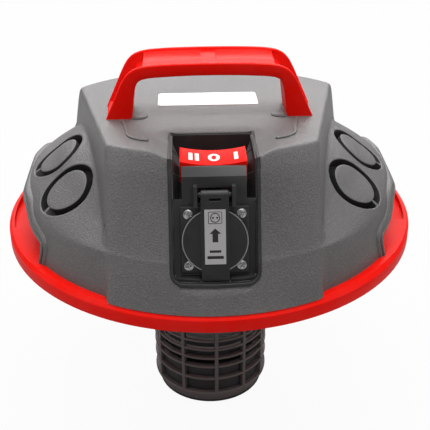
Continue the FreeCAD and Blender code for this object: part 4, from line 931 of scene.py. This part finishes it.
def top_label(form: CoverForm) -> bpy.types.Object:
    """Return the blank label: a rounded sheet on the sloping top."""

    def place(outline: Array, rise: float) -> Array:
        """Return points on the top face."""
        x, y = outline[:, 0], outline[:, 1]
        return np.stack([x, y, form.top(y) + rise + RIM], -1)

    sheet = box_outline(0.0, 22.0, 84.0, 41.0, 3.0)
    label = PrintedMarks("top_label", place, rise=0.4, depth=0.2).build([sheet])
    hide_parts("info_label")
    return label


def top_details(form: CoverForm) -> bpy.types.Object:
    """Return the raised lines of the top's middle panel and the round bosses by the handle's front feet."""
    line = np.array([(69.0, -40.0), (64.5, -64.0), (60.0, -86.0), (54.0, -92.0), (47.0, -95.5)])
    boss_x, boss_y = 57.0, -30.0
    boss = np.array([(8.2, -1.5), (7.8, 0.6), (7.0, 1.3), (5.0, 1.6), (2.5, 1.7), (0.05, 1.7)])
    bar = rounded_bar(2.2, 2.6, 0.5, 3)
    turn = full_turn(48)
    parts = []
    for side in (-1.0, 1.0):
        flat = smooth_path(line * [side, 1.0], 40)
        path = np.column_stack([flat, form.top(flat[:, 1]) + RIM])
        along = unit(np.gradient(path, axis=0))
        up = np.tile([0.0, 0.0, 1.0], (len(path), 1))
        parts.append(swept(path, unit(np.cross(along, up)), up, bar))
        radius, rise = boss[:, :1], boss[:, 1:]
        x, y = boss_x * side + radius * np.cos(turn), boss_y + radius * np.sin(turn)
        rings = np.stack([x, y, form.top(y) + rise + RIM], -1)
        parts.append((rings, grid_faces(len(boss), len(turn), wrap_cols=True)))
    points, quads = joined(parts)
    return mesh_piece("top_details", points, clean_faces(quads), crease=40.0)


@dataclass
class Handle:
    """Carry handle: a channel, open outwards, whose web rises to a grip between the shoulders."""

    front: float = -36.0
    back: float = 7.0
    wall: float = 3.5
    edge_r: float = 1.1
    web: float = 2.0
    grip_half: float = 46.0
    grip_sink: float = 2.4
    grip_foot: float = 141.0
    foot_sink: float = 0.8
    foot_head: float = 114.0
    outer: tuple[tuple[float, float], ...] = (
        (86.6, 98.0), (82.6, 108.0), (78.2, 118.0), (73.8, 128.0), (69.2, 138.0), (66.0, 143.6), (62.0, 148.0),
        (56.6, 151.0), (49.0, 152.7), (38.0, 153.6), (20.0, 154.2), (0.0, 154.35))
    inner: tuple[tuple[float, float], ...] = (
        (62.6, 98.0), (61.6, 108.0), (60.2, 120.0), (58.8, 130.0), (57.4, 136.0), (55.6, 139.8), (52.6, 141.7),
        (48.6, 142.7), (44.0, 143.2), (34.0, 143.8), (18.0, 144.4), (0.0, 144.6))

    @staticmethod
    def _arch(half: Sequence[tuple[float, float]]) -> Array:
        """Return a line over the whole arch through the knots of its right half and their mirror image."""
        knots = np.array(half)
        return smooth_path(np.concatenate([knots, (knots * [-1.0, 1.0])[-2::-1]]), 179)

    def _corner(self, level: Array, up: float, y: float, along: float) -> Array:
        """Return a quarter round of points at a corner of the section.

        Args:
            level: the corner's level above the inner line, at each step of the arch.
            up: 1 where the plastic lies above the corner, -1 where it lies below.
            y: the corner's place across the handle.
            along: 1 where the plastic lies towards the back, -1 towards the front.

        Returns:
            Array (steps, 4, 2) of level and place.
        """
        bend = np.array([0.0, 0.3, 0.7, 1.0]) * math.pi / 2
        late, early = self.edge_r * (1 - np.sin(bend)), self.edge_r * (1 - np.cos(bend))
        rise, shift = (late, early) if up * along > 0 else (early, late)
        levels = level[:, None] + up * rise
        return np.stack([levels, np.broadcast_to(y + along * shift, levels.shape)], -1)

    def _section(self, span: Array, web: Array) -> Array:
        """Return the U at each step: level above the inner line and place across, for walls, lips and web."""
        inner_back, inner_front = self.back - self.wall, self.front + self.wall
        foot = np.zeros_like(span)
        lip = web + np.minimum(1.2, 0.5 * np.maximum(span - web, 0.05))
        middle = [(lip, inner_back), (web, inner_back - 1.0), (web, inner_front + 1.0), (lip, inner_front)]
        return np.concatenate([
            self._corner(foot, 1.0, self.front, 1.0), self._corner(foot, 1.0, self.back, -1.0),
            self._corner(span, -1.0, self.back, -1.0), self._corner(span, -1.0, inner_back, 1.0),
            np.stack([np.stack([level, np.full_like(level, y)], -1) for level, y in middle], axis=1),
            self._corner(span, -1.0, inner_front, -1.0), self._corner(span, -1.0, self.front, 1.0)], axis=1)

    def channel(self) -> bpy.types.Object:
        """Return the channel: at each step along the arch a U of points between the inner and the outer line.

        Point = inner + level * (outer - inner) / span + y. The web's level is low in the legs, rises at the
        grip's ends and closes the hollow at the feet.
        """
        outer, inner = self._arch(self.outer), self._arch(self.inner)
        span = np.linalg.norm(outer - inner, axis=1)
        grip = ease((self.grip_half + 1.5 - np.abs(inner[:, 0])) / 3.0) * (inner[:, 1] > self.grip_foot)
        foot = ease((self.foot_head - outer[:, 1]) / 5.0)
        web = self.web + (span - (self.web + self.grip_sink)) * grip
        web = web + (span - self.foot_sink - web) * foot
        section = self._section(span, web)
        direction = unit(outer - inner)
        across = inner[:, None, :] + section[..., :1] * direction[:, None, :]
        points = np.stack([across[..., 0], section[..., 1], across[..., 1] + RIM], -1)
        rows, cols = points.shape[:2]
        quads = grid_faces(rows, cols, wrap_cols=True).tolist()
        ends = [list(range(cols))[::-1], list(range((rows - 1) * cols, rows * cols))]
        piece = mesh_piece("carry_handle", points.reshape(-1, 3), quads + ends, crease=50.0)
        turn_out(piece)
        return piece

    def build(self, palette: Palette) -> None:
        """Make and dress the handle."""
        channel = self.channel()
        palette.dress(channel, "red_plastic")
        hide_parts("handle")


@dataclass
class FloatCage:
    """Float cage: a near-black sleeve inside thin rings and upright ribs, above a smooth band; the sleeve's near-black
    is painted shade seen between the rings.
    """

    outer_r: float = 52.4
    sleeve_r: float = 48.4
    ring_levels: tuple[float, ...] = (29.3, 42.9, 52.4, 61.9, 71.4, 80.9, 90.4, 99.9)
    ring_half: float = 1.15
    rib_half: float = 1.6
    rib_turns: tuple[float, ...] = (-65.5, -30.0, 4.6, 34.6, 64.0, 99.0, 134.0, 170.0, 206.0, 250.0)
    head: float = 119.0
    band_top: float = 14.0
    foot_r: float = 47.4
    flange_r: float = 60.0
    flange_in: float = 46.0
    flange_thick: float = 1.5
    sleeve_wall: float = 2.4
    sleeve_foot: float = 0.4
    sleeve_head: float = 43.4
    floor_in: float = 12.0
    floor_top: float = 3.0

    @staticmethod
    def turned(profile: Array, count: int = 120) -> tuple[Array, Array]:
        """Return a closed profile of (radius, height) turned about the axis."""
        turn = full_turn(count)
        r, z = profile[:, :1], profile[:, 1:]
        points = np.stack([r * np.cos(turn), r * np.sin(turn), np.broadcast_to(z, (len(profile), count))], -1)
        return points, grid_faces(len(profile), count, wrap_rows=True, wrap_cols=True)

    def _band(self) -> Array:
        """Return the section of the smooth band at the foot: a tapered outside with rounded edges."""
        inside = self.sleeve_r - 2
        return np.array([
            (inside, 0.0), (self.foot_r - 1.0, 0.0), (self.foot_r - 0.2, 0.3), (self.foot_r + 0.3, 1.2),
            (self.outer_r - 0.2, self.band_top - 3.5), (self.outer_r, self.band_top - 2.4),
            (self.outer_r, self.band_top - 0.8), (self.outer_r - 0.6, self.band_top), (inside, self.band_top)])

    def _flange(self) -> Array:
        """Return the section of the flange under the lid, a hair below the lid's face."""
        foot = self.head - self.flange_thick
        return np.array([
            (self.flange_in, self.head), (self.flange_r - 0.6, self.head), (self.flange_r, self.head - 0.6),
            (self.flange_r, foot), (self.flange_in, foot)]) + [0.0, -0.01]

    def _rib(self, degrees: float) -> tuple[Array, Array]:
        """Return one upright rib, a rounded bar at a turn counted from the front."""
        turn = math.radians(degrees - 90.0)
        out = np.array([math.cos(turn), math.sin(turn), 0.0])
        side = np.array([-out[1], out[0], 0.0])
        level = np.linspace(self.band_top - 1.0, self.head - 1.0, 12)
        path = out * (self.outer_r - 2.35) + level[:, None] * np.array([0.0, 0.0, 1.0])
        bar = rounded_bar(4.4, 2 * self.rib_half, 0.6, 3)
        return swept(path, np.tile(out, (len(level), 1)), np.tile(side, (len(level), 1)), bar)

    def basket(self) -> bpy.types.Object:
        """Return the rings, the band, the flange and the ribs as one piece."""
        bar = rounded_bar(4.6, 2 * self.ring_half, 0.7, 3)
        profiles = [bar + [self.outer_r - 2.3, level] for level in self.ring_levels]
        turned = [self.turned(profile) for profile in (*profiles, self._band(), self._flange())]
        points, quads = joined(turned + [self._rib(degrees) for degrees in self.rib_turns])
        piece = mesh_piece("cage_frame", points, clean_faces(quads), crease=50.0)
        turn_out(piece)
        return piece

    def sleeve(self) -> bpy.types.Object:
        """Return the sleeve inside the lower rings: a thin wall and a floor with a round hole, near-black as painted
        shade.
        """
        out, inside = self.sleeve_r, self.sleeve_r - self.sleeve_wall
        foot, head = self.sleeve_foot, self.sleeve_head
        wall = np.array([(inside, foot), (out, foot), (out, head), (inside, head)])
        floor = np.array([(self.floor_in, foot), (inside, foot), (inside, self.floor_top),
                          (self.floor_in, self.floor_top)])
        points, quads = joined([self.turned(wall), self.turned(floor)])
        piece = mesh_piece("cage_shade_sleeve", points, quads, crease=30.0)
        turn_out(piece)
        return piece

    def build(self, palette: Palette) -> None:
        """Make and dress the cage."""
        basket = self.basket()
        palette.dress(basket, "cage_plastic")
        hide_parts("float_cage")
        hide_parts("cage_foot")
        # the sleeve's near-black finish is painted shade behind the rings
        palette.dress(self.sleeve(), "cage_inside_shade")


@dataclass
class Switch:
    """Rocker with its white position marks."""

    rise: float = 112.5
    half: float = 24.0
    sag: float = 3.0
    middle_y: float = -109.8

    def _place(self, outline: Array, rise: float) -> Array:
        """Return points on the rocker's hollow top: a circular arc across, level along."""
        bend = (self.half ** 2 + self.sag ** 2) / (2 * self.sag)
        x, y = outline[:, 0], outline[:, 1]
        z = RIM + self.rise - self.sag + bend - np.sqrt(bend ** 2 - x ** 2) + rise
        return np.stack([x, y + self.middle_y, z], -1)

    def build(self, palette: Palette) -> None:
        """Make the rounded rocker and its marks."""
        softened("rocker", "rocker_cap", 0.9, "red_plastic", palette, "switch_rocker")
        marks = PrintedMarks("rocker_marks", self._place)
        bars = [box_outline(x, 0.0, 2.9, 11.6, 0.25) for x in (-16.2, -11.6, 16.6)]
        ring = (disc_outline(0.6, 0.0, 4.3, 5.9), disc_outline(0.6, 0.0, 1.8, 3.6))
        palette.dress(marks.build(bars, [ring]), "print_white", "switch_rocker")


@dataclass
class Socket:
    """Leaning socket group: plate, cross-head screws, lid with its hinge roll and printed label."""

    middle: tuple[float, float] = (-146.0, 232.0)
    lean: float = math.radians(15.0)
    pitch: float = 38.0
    head_r: float = 3.4
    label_face: float = 5.8
    hinge_up: float = 33.5
    hinge_out: float = 2.6
    rim_r: float = 23.3
    rim_level: float = -3.45

    def to_frame(self, local: Array) -> Array:
        """Return points of the socket's own frame in the part's frame: turned back by the lean about X."""
        x, y, z = local[..., 0], local[..., 1], local[..., 2]
        c, s = math.cos(self.lean), math.sin(self.lean)
        return np.stack([x, self.middle[0] + y * c + z * s, self.middle[1] - y * s + z * c], -1)

    def _on_label(self, outline: Array, rise: float) -> Array:
        """Return points on the label's face."""
        level = np.full(len(outline), -self.label_face - rise)
        return self.to_frame(np.stack([outline[:, 0], level, outline[:, 1]], -1))

    def screws(self) -> bpy.types.Object:
        """Return four screw heads: rings of a low dome whose height drops inside a cross."""
        radius = np.array([0.0, 0.35, 0.7, 1.0, 1.3, 1.6, 1.9, 2.2, 2.6, 3.0, 3.3, 3.4, 3.4])
        r, a = np.meshgrid(radius, full_turn(64), indexing="ij")
        x, z = r * np.cos(a), r * np.sin(a)
        dome = 0.75 * (1 - (r / 3.9) ** 2)
        arm = np.minimum(np.abs(x), np.abs(z))
        cross = (1 - ease((arm - 0.30) / 0.35)) * (1 - ease((r - 2.0) / 0.5))
        level = dome - 1.3 * cross
        level[-1] = -0.9
        parts = []
        for k, (side, high) in enumerate(((-1, -1), (1, -1), (-1, 1), (1, 1))):
            spin = 0.35 + 0.5 * k
            c, s = math.cos(spin), math.sin(spin)
            local = np.stack([c * x - s * z + side * self.pitch / 2, -level,
                              s * x + c * z + high * self.pitch / 2], -1)
            parts.append((self.to_frame(local), grid_faces(*r.shape, wrap_cols=True)))
        points, quads = joined(parts)
        return mesh_piece("plate_screw_heads", points, quads, crease=30.0)

    def hinge_roll(self) -> bpy.types.Object:
        """Return the lid's hinge roll: a rounded barrel round the pin, drawn in at both ends."""
        half = np.array([12.0, 12.0, 11.8, 10.0, 10.0, 9.7, 9.0])
        across = np.concatenate([-half, half[::-1]])
        radius = np.array([0.2, 1.7, 1.9, 1.9, 2.9, 3.2, 3.35])
        radius = np.concatenate([radius, radius[::-1]])
        turn = full_turn(40)
        x = np.broadcast_to(across[:, None], (len(across), len(turn)))
        local = np.stack([x, -self.hinge_out + radius[:, None] * np.cos(turn),
                          self.hinge_up + radius[:, None] * np.sin(turn)], -1)
        return mesh_piece("lid_hinge_roll", self.to_frame(local).reshape(-1, 3),
                          grid_faces(len(across), len(turn), wrap_cols=True), crease=50.0)

    def lid_rim(self) -> bpy.types.Object:
        """Return the lid's thin rim: a small rounded bar turned about the disc's own axis, light grey as a painted
        highlight along the lid's edge.
        """
        bar = rounded_bar(0.8, 0.6, 0.2, 3)
        turn = full_turn(120)
        radius = self.rim_r + bar[:, :1]
        level = np.broadcast_to(self.rim_level + bar[:, 1:], (len(bar), len(turn)))
        local = np.stack([radius * np.cos(turn), level, radius * np.sin(turn)], -1)
        piece = mesh_piece("lid_rim", self.to_frame(local).reshape(-1, 3),
                           grid_faces(len(bar), len(turn), wrap_rows=True, wrap_cols=True), crease=50.0)
        turn_out(piece)
        return piece

    def label_print(self) -> bpy.types.Object:
        """Return the black print on the label: a socket sign, an arrow and two plain bars."""
        sign_up = 17.6
        arrow = np.array([(0, 6.4), (4.1, 2.6), (2.0, 2.6), (2.0, -3.6), (-2.0, -3.6), (-2.0, 2.6), (-4.1, 2.6)])
        solid = [arrow + [0.0, 3.4], box_outline(0.0, -7.0, 8.2, 1.7), box_outline(0.0, -11.4, 11.6, 2.1)]
        solid += [disc_outline(x, sign_up, 0.7, 0.7, 16) for x in (-1.5, 1.5)]
        bands = [(box_outline(0.0, sign_up, 9.8, 8.8, 1.0), box_outline(0.0, sign_up, 9.0, 8.0, 0.7)),
                 (disc_outline(0.0, sign_up, 3.5, 3.5), disc_outline(0.0, sign_up, 2.9, 2.9))]
        return PrintedMarks("lid_label_print", self._on_label, rise=0.06).build(solid, bands)

    def build(self, palette: Palette) -> None:
        """Make and dress the group."""
        softened("socket_lid", "socket_lid_cap", 0.5, "lid_plastic", palette, "lid")
        palette.dress(self.hinge_roll(), "lid_plastic", "lid")
        # the rim's light grey is a painted highlight on the lid's edge
        palette.dress(self.lid_rim(), "hood_plastic", "lid")
        palette.dress(self.label_print(), "print_black", "lid")
        heads = self.screws()
        palette.dress(heads, "steel")
        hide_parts("plate_screws")
        softened("socket_plate", "socket_plate_cap", 0.5, "module_plastic", palette)


# ---------------------------------------------------------------- stage

@dataclass
class Studio:
    """Camera, soft lights and floor."""

    place: tuple[float, float, float] = (-0.01936, -0.70005, 0.5583)
    forward: tuple[float, float, float] = (0.03055, 0.8749, -0.4834)
    right: tuple[float, float, float] = (0.99939, -0.0349, 0.0)
    roll: float = math.radians(-0.30)
    lens: float = 75.64
    floor_half: float = 9e3
    lights: tuple[tuple[str, tuple[float, float, float], tuple[float, float], float], ...] = (
        ("overhead", (0.0, 0.15, 1.75), (1.6, 1.3), 31.0),
        ("behind", (0.0, 1.9, 1.15), (2.8, 1.0), 40.0),
        ("left", (-1.5, -0.4, 1.0), (0.6, 1.2), 8.0),
        ("right", (1.5, -0.4, 1.0), (0.6, 1.2), 7.0),
        ("front", (0.3, -1.7, 1.9), (1.2, 0.8), 11.0),
    )

    def build(self, palette: Palette) -> None:
        """Make the camera, the lights, the floor and the even surround."""
        forward = Vector(self.forward).normalized()
        right = Vector(self.right).normalized()
        up = right.cross(forward)
        side = math.cos(self.roll) * right + math.sin(self.roll) * up
        over = -math.sin(self.roll) * right + math.cos(self.roll) * up
        data = bpy.data.cameras.new("camera")
        data.sensor_width, data.lens, data.clip_end = 36.0, self.lens, 50.0
        camera = bpy.data.objects.new("camera", data)
        turn = Matrix((side, over, -forward)).transposed().to_4x4()
        camera.matrix_world = Matrix.Translation(Vector(self.place)) @ turn
        bpy.context.scene.collection.objects.link(camera)
        bpy.context.scene.camera = camera
        target = Vector((0.0, 0.0, 0.2))
        for name, place, (wide, deep), power in self.lights:
            light = bpy.data.lights.new(name, "AREA")
            light.shape, light.size, light.size_y, light.energy = "RECTANGLE", wide, deep, power
            lamp = bpy.data.objects.new(name, light)
            lamp.location = place
            lamp.rotation_euler = (target - Vector(place)).to_track_quat("-Z", "Y").to_euler()
            bpy.context.scene.collection.objects.link(lamp)
        world = bpy.data.worlds.new("surround")
        world.use_nodes = True
        world.node_tree.nodes["Background"].inputs["Color"].default_value = (1.0, 1.0, 1.0, 1.0)
        world.node_tree.nodes["Background"].inputs["Strength"].default_value = 0.16
        bpy.context.scene.world = world
        bpy.context.scene.view_settings.view_transform = "Standard"
        half = self.floor_half
        corners = np.array([(-half, -half, 0), (half, -half, 0), (half, half, 0), (-half, half, 0)])
        floor = mesh_piece("floor", corners, [[0, 1, 2, 3]])
        floor.data.materials.append(self.floor_material(palette))

    @staticmethod
    def floor_material(palette: Palette) -> bpy.types.Material:
        """Return the floor's material, which looks near white but throws little light up at the object."""
        material = palette.material("floor")
        nodes, links = material.node_tree.nodes, material.node_tree.links
        shader = nodes["Principled BSDF"]
        glow, mix = nodes.new("ShaderNodeEmission"), nodes.new("ShaderNodeMixShader")
        path = nodes.new("ShaderNodeLightPath")
        glow.inputs["Strength"].default_value = 1.0
        share = nodes.new("ShaderNodeMath")
        share.operation = "MULTIPLY"
        share.inputs[1].default_value = 0.94
        links.new(path.outputs["Is Camera Ray"], share.inputs[0])
        links.new(share.outputs[0], mix.inputs["Fac"])
        links.new(shader.outputs[0], mix.inputs[1])
        links.new(glow.outputs[0], mix.inputs[2])
        links.new(mix.outputs[0], nodes["Material Output"].inputs["Surface"])
        return material


def dress_frame(palette: Palette) -> None:
    """Give every CAD node the material of its record slot, or of a finer finish where the slot is shared."""
    # float_cup takes the near-black painted shade of the cage's inside
    finer = {"module_housing": "module_plastic", "socket_lid": "lid_plastic", "float_cup": "cage_inside_shade",
             "lid_hinge_pin": "lid_plastic", "lid_spring": "lid_plastic"}
    entries = frame["record"].get("subparts", [])
    slots = {entry["node"]: entry["material_slot"] for entry in entries if "node" in entry}
    for name, node in frame["nodes"].items():
        finish = finer.get(name) or slots.get(name) or "black_plastic"
        node.data.materials.clear()
        node.data.materials.append(palette.material(finish))


def main() -> None:
    """Build the dressed model, piece by piece."""
    logging.basicConfig(level=logging.INFO, format="%(message)s")
    palette = Palette()
    dress_frame(palette)
    Studio().build(palette)
    form = CoverForm()
    Cover(form).build(palette)
    softened("lid_base", "lid_ring", 1.0, "red_plastic", palette)
    tub = softened("module_housing", "module_tub", 0.4, "module_plastic", palette)
    lower_tub(tub, form)
    palette.dress(top_label(form), "label_white")
    palette.dress(top_details(form), "cover_plastic")
    Handle().build(palette)
    FloatCage().build(palette)
    Switch().build(palette)
    Socket().build(palette)


if __name__ == "__main__":
    main()
